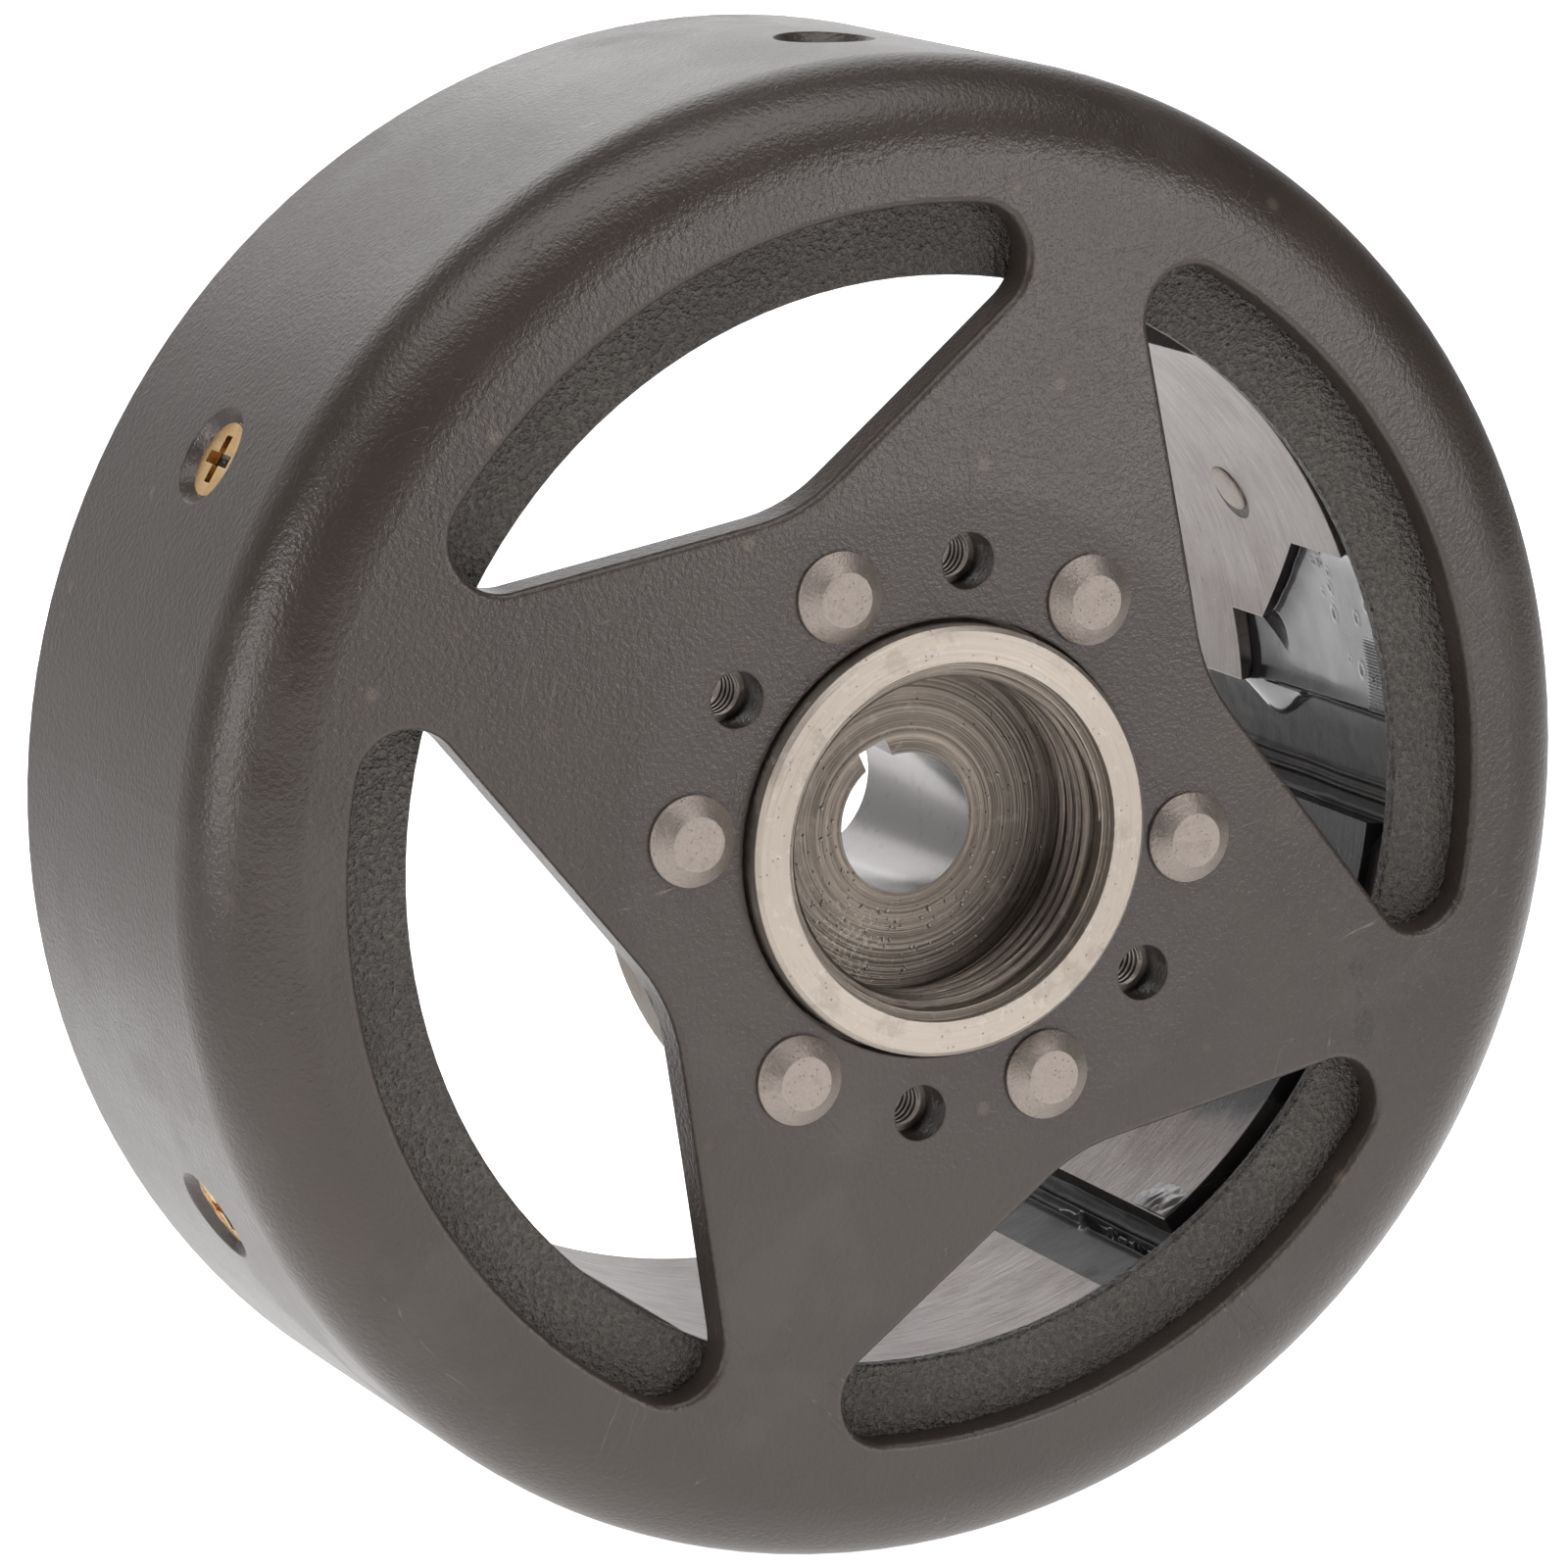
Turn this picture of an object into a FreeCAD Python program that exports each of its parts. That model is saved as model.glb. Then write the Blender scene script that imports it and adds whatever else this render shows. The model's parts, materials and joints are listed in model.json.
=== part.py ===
import FreeCAD, Part
import math
import os

import Sketcher

# Outer-rotor flywheel of a small petrol engine's generator, in millimetres.
#
# Every piece is modelled in the flywheel's own frame: Z along the spin axis with the front face of
# the hub zone at zero, X through the first rivet. The last step stands that frame up, so that the
# spin axis lies along world Y, the front looks towards -Y and +Z is up.

SIZES = {
    # Rotor cup
    "outer_radius": (71.0, "outside of the cup wall"),
    "wall": (6.0, "thickness of the cup wall"),
    "cup_depth": (49.6, "front face to rear rim"),
    "plate": (3.9, "thickness of the front plate"),
    "flat_radius": (32.0, "radius where the flat hub zone turns into the cone"),
    "shoulder_radius": (61.8, "radius where the cone meets the rounded corner"),
    "cone_drop": (2.27, "how far the cone falls from flat zone to corner"),
    "corner_radius": (9.2, "rounding of the outside corner"),
    "blend_radius": (24.0, "soft bend between flat zone and cone"),
    "seat_depth": (5.3, "flat seat behind the plate, under the magnets"),
    "rim_chamfer": (0.8, "bevel on the rear rim"),
    "cup_bore": (20.6, "hole in the plate round the hub boss"),
    "lip_roll": (0.6, "rolled edge of the windows"),
    "lip_band": (0.4, "how far behind the cone's lowest point a window's front edge may lie"),
    # Windows, two pairs
    "window_outer": (58.2, "outer arc of every window"),
    "window_end": (5.0, "rounding of the window ends"),
    "wide_reach": (29.3, "axis to the straight sides of the wide windows"),
    "wide_slope": (14.7, "lean of those sides, degrees"),
    "wide_apex": (18.0, "rounding where they meet"),
    "wide_angle": (30.0, "direction of the first wide window, degrees"),
    "narrow_reach": (33.5, "the same for the narrow windows"),
    "narrow_slope": (14.2, "degrees"),
    "narrow_apex": (16.5, "rounding"),
    "narrow_angle": (120.0, "direction of the first narrow window, degrees"),
    # Bolt circle
    "circle_radius": (25.8, "rivets and puller holes"),
    "hole_radius": (2.65, "clearance holes in the plate"),
    "tapped_radius": (2.1, "tapped holes in the hub flange"),
    "hole_first": (90.0, "direction of the first hole of each pair, degrees"),
    "hole_second": (150.0, "direction of the second, degrees"),
    "rivet_shank": (2.4, "rivet shank radius"),
    "rivet_head": (4.25, "rivet head radius"),
    "rivet_flat": (2.5, "flat top of the head"),
    "rivet_height": (1.7, "height of the front head"),
    "rivet_edge": (0.35, "upright edge of the head"),
    "rivet_tail": (1.5, "height of the rear head"),
    "rivet_tail_edge": (0.4, "how much smaller the rear head is"),
    "rivet_lift": (0.02, "front head off the plate"),
    "rivet_tail_lift": (0.05, "rear head off the flange"),
    # Hub
    "boss_radius": (20.1, "boss through the plate"),
    "boss_height": (2.0, "boss top above the plate"),
    "boss_chamfer": (0.45, "bevel on the boss"),
    "mouth_radius": (16.8, "plain mouth of the socket"),
    "mouth_depth": (1.0, "length of that mouth"),
    "thread_radius": (16.0, "wall of the puller thread"),
    "socket_depth": (7.7, "front face to the socket floor"),
    "flange_radius": (31.0, "hub flange"),
    "flange_front": (3.95, "front face to flange front"),
    "flange_rear": (8.4, "front face to flange rear"),
    "neck_radius": (19.5, "sleeve behind the flange"),
    "neck_end": (14.0, "front face to the end of that sleeve"),
    "nose_radius": (14.0, "rear nose of the hub"),
    "nose_start": (17.0, "front face to the start of the nose"),
    "hub_end": (30.5, "front face to the hub's rear end"),
    "nose_chamfer": (1.0, "bevel on the nose"),
    "taper_small": (6.64, "crankshaft taper at the socket floor"),
    "taper_large": (7.79, "crankshaft taper at the rear end"),
    "key_width": (3.0, "keyway"),
    "key_depth": (1.65, "keyway floor outside the taper"),
    "key_angle": (120.0, "direction of the keyway, degrees"),
    # Stop ring
    "ring_inner": (51.3, "hole of the stop ring"),
    "ring_front": (5.35, "front face to ring front"),
    "ring_rear": (6.55, "front face to ring rear"),
    "ring_edge": (0.2, "broken edge of the ring"),
    # Magnets, pole shoes, resin
    "gap": (0.1, "play between nested round faces"),
    "magnet_inner": (54.6, "inside of the magnets"),
    "magnet_front": (6.65, "front face to magnet front"),
    "magnet_rear": (47.4, "front face to magnet rear"),
    "magnet_span": (59.2, "angle of one magnet, degrees"),
    "seam_span": (0.7, "angle of one resin seam, degrees"),
    "shoe_inner": (51.5, "inside of the pole shoes"),
    "shoe_outer": (54.5, "outside of the pole shoes"),
    "shoe_span": (49.2, "angle of one shoe, degrees"),
    "shoe_rear": (46.6, "front face to shoe rear"),
    "pole_angle": (34.5, "direction of the first pole, degrees"),
    "skew_low": (10.2, "first shoe: front edge at its lower end"),
    "skew_high": (6.7, "first shoe: front edge at its upper end"),
    "notch_side": (4.8, "notch side, off the pole's centre plane"),
    "notch_knee": (18.0, "front face to the notch's knee"),
    "notch_toe_side": (14.4, "toe of the notch, off the centre plane"),
    "notch_toe": (28.5, "front face to the toe"),
    "notch_floor": (34.3, "front face to the notch floor"),
    # Pole screws
    "screw_depth": (26.3, "front face to the screws"),
    "screw_radius": (2.0, "screw shank"),
    "screw_head": (3.75, "screw head"),
    "screw_seat": (70.1, "axis to the top of the head"),
    "screw_tip": (51.6, "axis to the tip"),
    "screw_point": (0.3, "bevel on the tip"),
    "screw_rim": (0.15, "upright edge of the head"),
    "screw_crown": (0.1, "bevel round the top of the head"),
    "screw_hole": (2.15, "hole for the shank"),
    "sink_radius": (4.95, "countersink at the wall's surface"),
    "recess_reach": (2.35, "cross recess, centre to the tip of an arm"),
    "recess_width": (0.6, "half width of an arm"),
    "recess_depth": (1.9, "cross recess"),
    "recess_taper": (12.0, "lean of its walls, degrees"),
    # Cutting outlines
    "overshoot": (1.0, "how far a cutting outline runs past the metal"),
    # Stance
    "clocking": (-5.24, "turn of the whole flywheel about its axis, degrees"),
}

POLES = 6
SHOE_FRONTS = (6.7, 8.2, 8.4, 7.8, 6.75, 9.9)
X_AXIS = FreeCAD.Vector(1, 0, 0)
Y_AXIS = FreeCAD.Vector(0, 1, 0)
Z_AXIS = FreeCAD.Vector(0, 0, 1)


class Size:
    """A number together with the sheet expression that gives it."""

    def __init__(self, value, text):
        self.value = value
        self.text = text

    def __add__(self, other):
        other = as_size(other)
        return Size(self.value + other.value, f"({self.text} + {other.text})")

    def __sub__(self, other):
        other = as_size(other)
        return Size(self.value - other.value, f"({self.text} - {other.text})")

    def __mul__(self, other):
        other = as_size(other)
        return Size(self.value * other.value, f"({self.text} * {other.text})")

    def __truediv__(self, other):
        other = as_size(other)
        return Size(self.value / other.value, f"({self.text} / {other.text})")

    def __neg__(self):
        return Size(-self.value, f"(0 - {self.text})")


def as_size(number):
    """A plain number as a Size."""
    if isinstance(number, Size):
        return number
    return Size(float(number), f"{number:g}")


def size(alias):
    """The named cell of the sheet."""
    return Size(sheet.get(alias), f"Sizes.{alias}")


def sine(angle):
    """Sine of a Size in degrees."""
    return Size(math.sin(math.radians(angle.value)), f"sin({angle.text})")


def cosine(angle):
    """Cosine of a Size in degrees."""
    return Size(math.cos(math.radians(angle.value)), f"cos({angle.text})")


def bind(feature, path, amount):
    """Drive one property of a feature from the sheet."""
    feature.setExpression(path, as_size(amount).text)


def make_sheet():
    """One row per driving dimension: name, value under an alias, meaning."""
    table = doc.addObject("Spreadsheet::Sheet", "Sizes")
    for row, (alias, (value, meaning)) in enumerate(SIZES.items(), start=1):
        table.set(f"A{row}", alias)
        table.set(f"B{row}", f"{value:g}")
        table.setAlias(f"B{row}", alias)
        table.set(f"C{row}", meaning)
    for index, depth in enumerate(SHOE_FRONTS, start=1):
        row = len(SIZES) + index
        table.set(f"A{row}", f"shoe_front_{index}")
        table.set(f"B{row}", f"{depth:g}")
        table.setAlias(f"B{row}", f"shoe_front_{index}")
        table.set(f"C{row}", f"front face to the front edge of shoe {index}")
    doc.recompute()
    return table


# --- Bodies, sketches and features ---------------------------------------------------------------

def new_body(label, turn=0.0):
    """Empty body, stood up in the world and turned about the spin axis by turn degrees."""
    body = doc.addObject("PartDesign::Body", label)
    body.Label = label
    body.AllowCompound = True
    stand = FreeCAD.Rotation(X_AXIS, 90)
    clocked = FreeCAD.Rotation(Z_AXIS, sheet.get("clocking") + turn)
    body.Placement = FreeCAD.Placement(FreeCAD.Vector(), stand * clocked)
    return body


def origin_feature(body, role):
    """Plane or axis of the body's own origin."""
    return next(item for item in body.Origin.OriginFeatures if item.Role == role)


def new_sketch(body, name, role, shift=(0, 0, 0), axis=None, angle=0):
    """Sketch on an origin plane, moved by shift and turned by angle about axis, both bound."""
    sketch = body.newObject("Sketcher::SketchObject", name)
    sketch.AttachmentSupport = [(origin_feature(body, role), "")]
    sketch.MapMode = "FlatFace"
    shift = [as_size(part) for part in shift]
    angle = as_size(angle)
    base = FreeCAD.Vector(*[part.value for part in shift])
    turn = FreeCAD.Rotation(axis or Z_AXIS, angle.value)
    sketch.AttachmentOffset = FreeCAD.Placement(base, turn)
    for letter, part in zip("xyz", shift):
        if part.value:
            bind(sketch, f"AttachmentOffset.Base.{letter}", part)
    if angle.value:
        bind(sketch, "AttachmentOffset.Rotation.Angle", angle)
    return sketch


def hold(sketch, kind, *where, amount):
    """Add a dimension to a sketch and drive it from the sheet."""
    amount = as_size(amount)
    value = math.radians(amount.value) if kind == "Angle" else amount.value
    index = sketch.addConstraint(Sketcher.Constraint(kind, *where, value))
    bind(sketch, f"Constraints[{index}]", amount)


def draw_outline(sketch, corners):
    """Closed outline of straight sides whose corners are all dimensioned from the origin."""
    corners = [(as_size(across), as_size(along)) for across, along in corners]
    points = [FreeCAD.Vector(across.value, along.value, 0) for across, along in corners]
    count = len(corners)
    for index in range(count):
        sketch.addGeometry(Part.LineSegment(points[index], points[(index + 1) % count]), False)
    for index in range(count):
        join = Sketcher.Constraint("Coincident", index, 2, (index + 1) % count, 1)
        sketch.addConstraint(join)
    for index, (across, along) in enumerate(corners):
        hold(sketch, "DistanceX", -1, 1, index, 1, amount=across)
        hold(sketch, "DistanceY", -1, 1, index, 1, amount=along)


def round_corner(sketch, corner, radius):
    """Round one corner of an outline, keeping the sharp corner as its reference."""
    radius = as_size(radius)
    sketch.fillet(corner, 1, radius.value, True, True)
    arc = sketch.GeometryCount - 1
    while not isinstance(sketch.Geometry[arc], Part.ArcOfCircle):
        arc -= 1
    hold(sketch, "Radius", arc, amount=radius)


def draw_circle(sketch, radius, across, along):
    """Circle of a sketch, dimensioned by radius and centre."""
    centre = FreeCAD.Vector(across.value, along.value, 0)
    index = sketch.addGeometry(Part.Circle(centre, Z_AXIS, radius.value), False)
    hold(sketch, "Radius", index, amount=radius)
    hold(sketch, "DistanceX", -1, 1, index, 3, amount=across)
    hold(sketch, "DistanceY", -1, 1, index, 3, amount=along)


def revolve(body, sketch, axis, angle=360):
    """Turn a sketch about its own H_Axis or V_Axis; a part turn is centred on the sketch."""
    feature = body.newObject("PartDesign::Revolution", f"{sketch.Name}_turned")
    feature.Profile = sketch
    feature.ReferenceAxis = (sketch, [axis])
    feature.Midplane = True
    bind(feature, "Angle", angle)
    doc.recompute()
    return feature


def groove(body, sketch, axis):
    """Full-turn cut about the sketch's own axis."""
    before = body.Shape.Volume
    feature = body.newObject("PartDesign::Groove", f"{sketch.Name}_cut")
    feature.Profile = sketch
    feature.ReferenceAxis = (sketch, [axis])
    feature.Angle = 360
    doc.recompute()
    require_less(body, before)
    return feature


def pocket(body, sketch, length, midplane=False, taper=None):
    """Straight cut against the sketch's normal, or to both sides of it."""
    before = body.Shape.Volume
    feature = body.newObject("PartDesign::Pocket", f"{sketch.Name}_cut")
    feature.Profile = sketch
    feature.Midplane = midplane
    bind(feature, "Length", length)
    if taper is not None:
        bind(feature, "TaperAngle", taper)
    doc.recompute()
    require_less(body, before)
    return feature


def require_less(body, before):
    """A cut that removes nothing is an error."""
    if not body.Shape.Volume < before - 1e-3:
        raise ValueError(f"a cut in {body.Label} removed nothing")


def repeat_round(body, features, count):
    """Repeat features evenly about the spin axis."""
    pattern = body.newObject("PartDesign::PolarPattern", f"{features[0].Name}_round")
    pattern.Originals = features
    pattern.Axis = (origin_feature(body, "Z_Axis"), [""])
    pattern.Angle = 360
    pattern.Occurrences = count
    body.Tip = pattern
    doc.recompute()
    return pattern


def edge_names(shape, wanted):
    """Names of the edges that pass the test."""
    return [f"Edge{number}" for number, edge in enumerate(shape.Edges, start=1) if wanted(edge)]


def round_edges(body, name, wanted, radius):
    """Fillet the body's edges that pass the test."""
    base = body.Tip
    feature = body.newObject("PartDesign::Fillet", name)
    feature.Base = (base, edge_names(base.Shape, wanted))
    bind(feature, "Radius", radius)
    doc.recompute()
    return feature


def bevel_edges(body, name, wanted, width):
    """Chamfer the body's edges that pass the test."""
    base = body.Tip
    feature = body.newObject("PartDesign::Chamfer", name)
    feature.Base = (base, edge_names(base.Shape, wanted))
    bind(feature, "Size", width)
    doc.recompute()
    return feature


# --- Rotor cup -----------------------------------------------------------------------------------

def draw_window(sketch, reach, slope, apex):
    """Window outline about the sketch's +Y: outer arc, two leaning sides, rounded apex and ends."""
    outer = size("window_outer")
    end = size("window_end")
    lean = math.radians(slope.value)
    side_normal = FreeCAD.Vector(-math.sin(lean), math.cos(lean), 0)
    side_run = FreeCAD.Vector(math.cos(lean), math.sin(lean), 0)
    apex_centre = FreeCAD.Vector(0, (reach.value + apex.value) / math.cos(lean), 0)
    inset = reach.value + end.value
    run = math.sqrt((outer.value - end.value) ** 2 - inset ** 2)
    end_centre = side_normal * inset + side_run * run
    apex_foot = apex_centre - side_normal * apex.value
    end_foot = end_centre - side_normal * end.value
    end_tip = end_centre * (outer.value / end_centre.Length)
    end_mid = end_centre + (end_tip - end_centre + end_foot - end_centre).normalize() * end.value

    def mirrored(point):
        return FreeCAD.Vector(-point.x, point.y, 0)

    apex_low = apex_centre - FreeCAD.Vector(0, apex.value, 0)
    outer_top = FreeCAD.Vector(0, outer.value, 0)
    pieces = [
        Part.Arc(mirrored(apex_foot), apex_low, apex_foot),
        Part.LineSegment(apex_foot, end_foot),
        Part.Arc(end_foot, end_mid, end_tip),
        Part.Arc(end_tip, outer_top, mirrored(end_tip)),
        Part.Arc(mirrored(end_tip), mirrored(end_mid), mirrored(end_foot)),
        Part.LineSegment(mirrored(end_foot), mirrored(apex_foot)),
    ]
    for piece in pieces:
        sketch.addGeometry(piece, False)
    for index in range(len(pieces)):
        after = (index + 1) % len(pieces)
        sketch.addConstraint(Sketcher.Constraint("Tangent", index, 2, after, 1))
    sketch.addConstraint(Sketcher.Constraint("Coincident", 3, 3, -1, 1))
    sketch.addConstraint(Sketcher.Constraint("Equal", 2, 4))
    hold(sketch, "Radius", 0, amount=apex)
    hold(sketch, "Radius", 2, amount=end)
    hold(sketch, "Radius", 3, amount=outer)
    hold(sketch, "Distance", -1, 1, 1, amount=reach)
    hold(sketch, "Distance", -1, 1, 5, amount=reach)
    hold(sketch, "Angle", 1, amount=slope)
    hold(sketch, "Angle", 5, amount=-slope)


def cut_windows(body, kind):
    """Pair of windows, half a turn apart."""
    turn = size(f"{kind}_angle") - 90
    sketch = new_sketch(body, f"{kind}_window", "XY_Plane", axis=Z_AXIS, angle=turn)
    draw_window(sketch, size(f"{kind}_reach"), size(f"{kind}_slope"), size(f"{kind}_apex"))
    repeat_round(body, [pocket(body, sketch, size("cup_depth") / 4)], 2)


def cut_circle_holes(body, name, radius, angles, count, depth):
    """Round holes on the bolt circle at the given directions, repeated count times."""
    sketch = new_sketch(body, name, "XY_Plane")
    reach = size("circle_radius")
    for angle in angles:
        draw_circle(sketch, radius, reach * cosine(angle), reach * sine(angle))
    repeat_round(body, [pocket(body, sketch, depth)], count)


def window_lip(edge):
    """True for a window's edge on the front of the plate."""
    box = edge.BoundBox
    centre = edge.CenterOfMass
    reach = math.hypot(centre.x, centre.y)
    on_front = box.ZMin > -sheet.get("cone_drop") - sheet.get("lip_band")
    past_hub = reach > sheet.get("circle_radius") + sheet.get("rivet_head")
    inside_arc = reach < sheet.get("window_outer") + sheet.get("overshoot")
    return on_front and past_hub and inside_arc


def build_rotor_cup():
    """Pressed steel cup: flat hub zone, shallow cone, rounded corner and a plain wall."""
    body = new_body("rotor_cup")
    outer = size("outer_radius")
    inner = outer - size("wall")
    slope = size("cone_drop") / (size("shoulder_radius") - size("flat_radius"))
    seat_start = size("flat_radius") + (size("seat_depth") - size("plate")) / slope
    profile = new_sketch(body, "cup_profile", "XZ_Plane")
    draw_outline(profile, [
        (size("cup_bore"), 0),
        (size("flat_radius"), 0),
        (outer, -slope * (outer - size("flat_radius"))),
        (outer, -size("cup_depth")),
        (inner, -size("cup_depth")),
        (inner, -size("seat_depth")),
        (seat_start, -size("seat_depth")),
        (size("flat_radius"), -size("plate")),
        (size("cup_bore"), -size("plate")),
    ])
    round_corner(profile, 1, size("blend_radius"))
    round_corner(profile, 2, size("corner_radius"))
    revolve(body, profile, "V_Axis")
    rear = -sheet.get("cup_depth")
    bevel_edges(body, "cup_rim",
                lambda edge: abs(edge.BoundBox.ZMin - rear) < 0.01
                and abs(edge.BoundBox.ZMax - rear) < 0.01, size("rim_chamfer"))
    cut_windows(body, "wide")
    cut_windows(body, "narrow")
    round_edges(body, "window_lips", window_lip, size("lip_roll"))
    angles = [size("hole_first"), size("hole_second")]
    cut_circle_holes(body, "plate_holes", size("hole_radius"), angles, 2, size("plate") * 2)
    cut_circle_holes(body, "rivet_holes", size("rivet_shank") + size("gap"), [as_size(0)], POLES,
                     size("plate") * 2)
    cut_screw_sinks(body)
    return body


def cut_screw_sinks(body):
    """Radial screw holes through the wall, countersunk at 90 degrees past the surface."""
    sketch = new_sketch(body, "screw_sink", "XZ_Plane", (0, -size("screw_depth"), 0),
                        Y_AXIS, size("pole_angle"))
    outer = size("outer_radius")
    hole = size("screw_hole")
    sink = size("sink_radius")
    past = size("overshoot")
    draw_outline(sketch, [
        (size("shoe_inner"), 0),
        (size("shoe_inner"), hole),
        (outer - (sink - hole), hole),
        (outer + past, sink + past),
        (outer + past, 0),
    ])
    repeat_round(body, [groove(body, sketch, "H_Axis")], POLES)


# --- Hub and rivets ------------------------------------------------------------------------------

def build_hub():
    """Turned hub: threaded puller socket, flange behind the plate, tapered bore with a keyway."""
    body = new_body("hub")
    boss = size("boss_radius")
    top = size("boss_height")
    bevel = size("boss_chamfer")
    nose = size("nose_radius")
    nose_bevel = size("nose_chamfer")
    end = size("hub_end")
    profile = new_sketch(body, "hub_profile", "XZ_Plane")
    draw_outline(profile, [
        (size("mouth_radius"), top),
        (boss - bevel, top),
        (boss, top - bevel),
        (boss, -size("flange_front")),
        (size("flange_radius"), -size("flange_front")),
        (size("flange_radius"), -size("flange_rear") + bevel),
        (size("flange_radius") - bevel, -size("flange_rear")),
        (size("neck_radius"), -size("flange_rear")),
        (size("neck_radius"), -size("neck_end")),
        (nose, -size("nose_start")),
        (nose, -end + nose_bevel),
        (nose - nose_bevel, -end),
        (size("taper_large"), -end),
        (size("taper_small"), -size("socket_depth")),
        (size("thread_radius"), -size("socket_depth")),
        (size("thread_radius"), top - size("mouth_depth")),
        (size("mouth_radius"), top - size("mouth_depth")),
    ])
    revolve(body, profile, "V_Axis")
    cut_keyway(body)
    angles = [size("hole_first"), size("hole_second")]
    cut_circle_holes(body, "tapped_holes", size("tapped_radius"), angles, 2, size("flange_rear") * 2)
    cut_circle_holes(body, "flange_rivet_holes", size("rivet_shank") + size("gap"), [as_size(0)],
                     POLES, size("flange_rear") * 2)
    return body


def cut_keyway(body):
    """Keyway along the taper, its floor parallel to the taper's wall."""
    front = size("socket_depth")
    rear = size("hub_end")
    lean = (size("taper_large") - size("taper_small")) / (rear - front)
    floor = size("taper_small") + size("key_depth")
    past = size("overshoot")
    sketch = new_sketch(body, "keyway", "XZ_Plane", (0, 0, 0), Y_AXIS, size("key_angle"))
    draw_outline(sketch, [
        (0, -front + past),
        (floor - lean * past, -front + past),
        (floor + lean * (rear - front + past), -rear - past),
        (0, -rear - past),
    ])
    pocket(body, sketch, size("key_width"), midplane=True)


def build_hub_rivets():
    """Six rivets through plate and flange: coned front heads, low rear heads."""
    body = new_body("hub_rivets")
    shank = size("rivet_shank")
    head = size("rivet_head")
    rear = size("flange_rear") + size("rivet_tail_lift")
    lift = size("rivet_lift")
    profile = new_sketch(body, "rivet_profile", "XZ_Plane", (size("circle_radius"), 0, 0))
    draw_outline(profile, [
        (0, size("rivet_height")),
        (size("rivet_flat"), size("rivet_height")),
        (head, size("rivet_edge")),
        (head, lift),
        (shank, lift),
        (shank, -rear),
        (head - size("rivet_tail_edge"), -rear),
        (size("rivet_flat"), -rear - size("rivet_tail")),
        (0, -rear - size("rivet_tail")),
    ])
    repeat_round(body, [revolve(body, profile, "V_Axis")], POLES)
    return body


# --- Stop ring, magnets, shoes, resin ------------------------------------------------------------

def sector_body(label, turn, inner, outer, front, rear, span):
    """Piece of a tube, centred on the direction turn, from depth front to depth rear."""
    body = new_body(label, turn)
    profile = new_sketch(body, f"{label}_profile", "XZ_Plane")
    draw_outline(profile, [(inner, -front), (outer, -front), (outer, -rear), (inner, -rear)])
    revolve(body, profile, "V_Axis", span)
    return body


def build_stop_ring():
    """Thin ring on the cup's seat that sets the magnets' depth."""
    body = new_body("magnet_stop_ring")
    outer = size("outer_radius") - size("wall") - size("gap")
    inner = size("ring_inner")
    edge = size("ring_edge")
    profile = new_sketch(body, "ring_profile", "XZ_Plane")
    draw_outline(profile, [
        (inner + edge, -size("ring_front")),
        (outer, -size("ring_front")),
        (outer, -size("ring_rear")),
        (inner, -size("ring_rear")),
        (inner, -size("ring_front") - edge),
    ])
    revolve(body, profile, "V_Axis")
    return body


def cut_screw_hole(body):
    """Radial hole on the piece's centre plane."""
    sketch = new_sketch(body, f"{body.Label}_hole", "YZ_Plane")
    draw_circle(sketch, size("screw_hole"), as_size(0), -size("screw_depth"))
    pocket(body, sketch, size("outer_radius") * 2, midplane=True)


def pole_turn(index):
    """Direction of a pole in degrees, the first pole being index 0."""
    return sheet.get("pole_angle") + index * 360.0 / POLES


def build_magnet(index):
    """Arc magnet against the cup wall."""
    outer = size("outer_radius") - size("wall") - size("gap")
    body = sector_body(f"magnet_{index + 1}", pole_turn(index), size("magnet_inner"), outer,
                       size("magnet_front"), size("magnet_rear"), size("magnet_span"))
    cut_screw_hole(body)
    return body


def build_resin_seam(index):
    """Resin between two magnets, half a pole on from the first of them."""
    outer = size("outer_radius") - size("wall") - size("gap")
    turn = pole_turn(index) + 180.0 / POLES
    return sector_body(f"resin_seam_{index + 1}", turn, size("magnet_inner"), outer,
                       size("magnet_front"), size("magnet_rear"), size("seam_span"))


def build_pole_shoe(index):
    """Curved steel plate that the pole screws clamp over a magnet."""
    label = f"pole_shoe_{index + 1}"
    body = sector_body(label, pole_turn(index), size("shoe_inner"), size("shoe_outer"),
                       size(f"shoe_front_{index + 1}"), size("shoe_rear"), size("shoe_span"))
    cut_screw_hole(body)
    if index == 0:
        cut_skewed_front(body)
        cut_notch(body)
    return body


def cut_skewed_front(body):
    """Front edge of the first shoe, which runs askew."""
    side = size("shoe_outer") * sine(size("shoe_span") / 2)
    past = size("overshoot")
    sketch = new_sketch(body, "skewed_front", "YZ_Plane")
    draw_outline(sketch, [
        (-side - past, 0),
        (-side - past, -size("skew_low")),
        (side, -size("skew_high")),
        (side, 0),
    ])
    pocket(body, sketch, size("outer_radius") * 2, midplane=True)


def cut_notch(body):
    """Notch that takes the front lower corner off the first shoe."""
    side = size("shoe_outer") * sine(size("shoe_span") / 2)
    past = size("overshoot")
    sketch = new_sketch(body, "notch", "YZ_Plane")
    draw_outline(sketch, [
        (-side - past, 0),
        (-side - past, -size("notch_floor")),
        (-size("notch_toe_side"), -size("notch_floor")),
        (-size("notch_toe_side"), -size("notch_toe")),
        (-size("notch_side"), -size("notch_knee")),
        (-size("notch_side"), 0),
    ])
    pocket(body, sketch, size("outer_radius") * 2, midplane=True)


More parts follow.
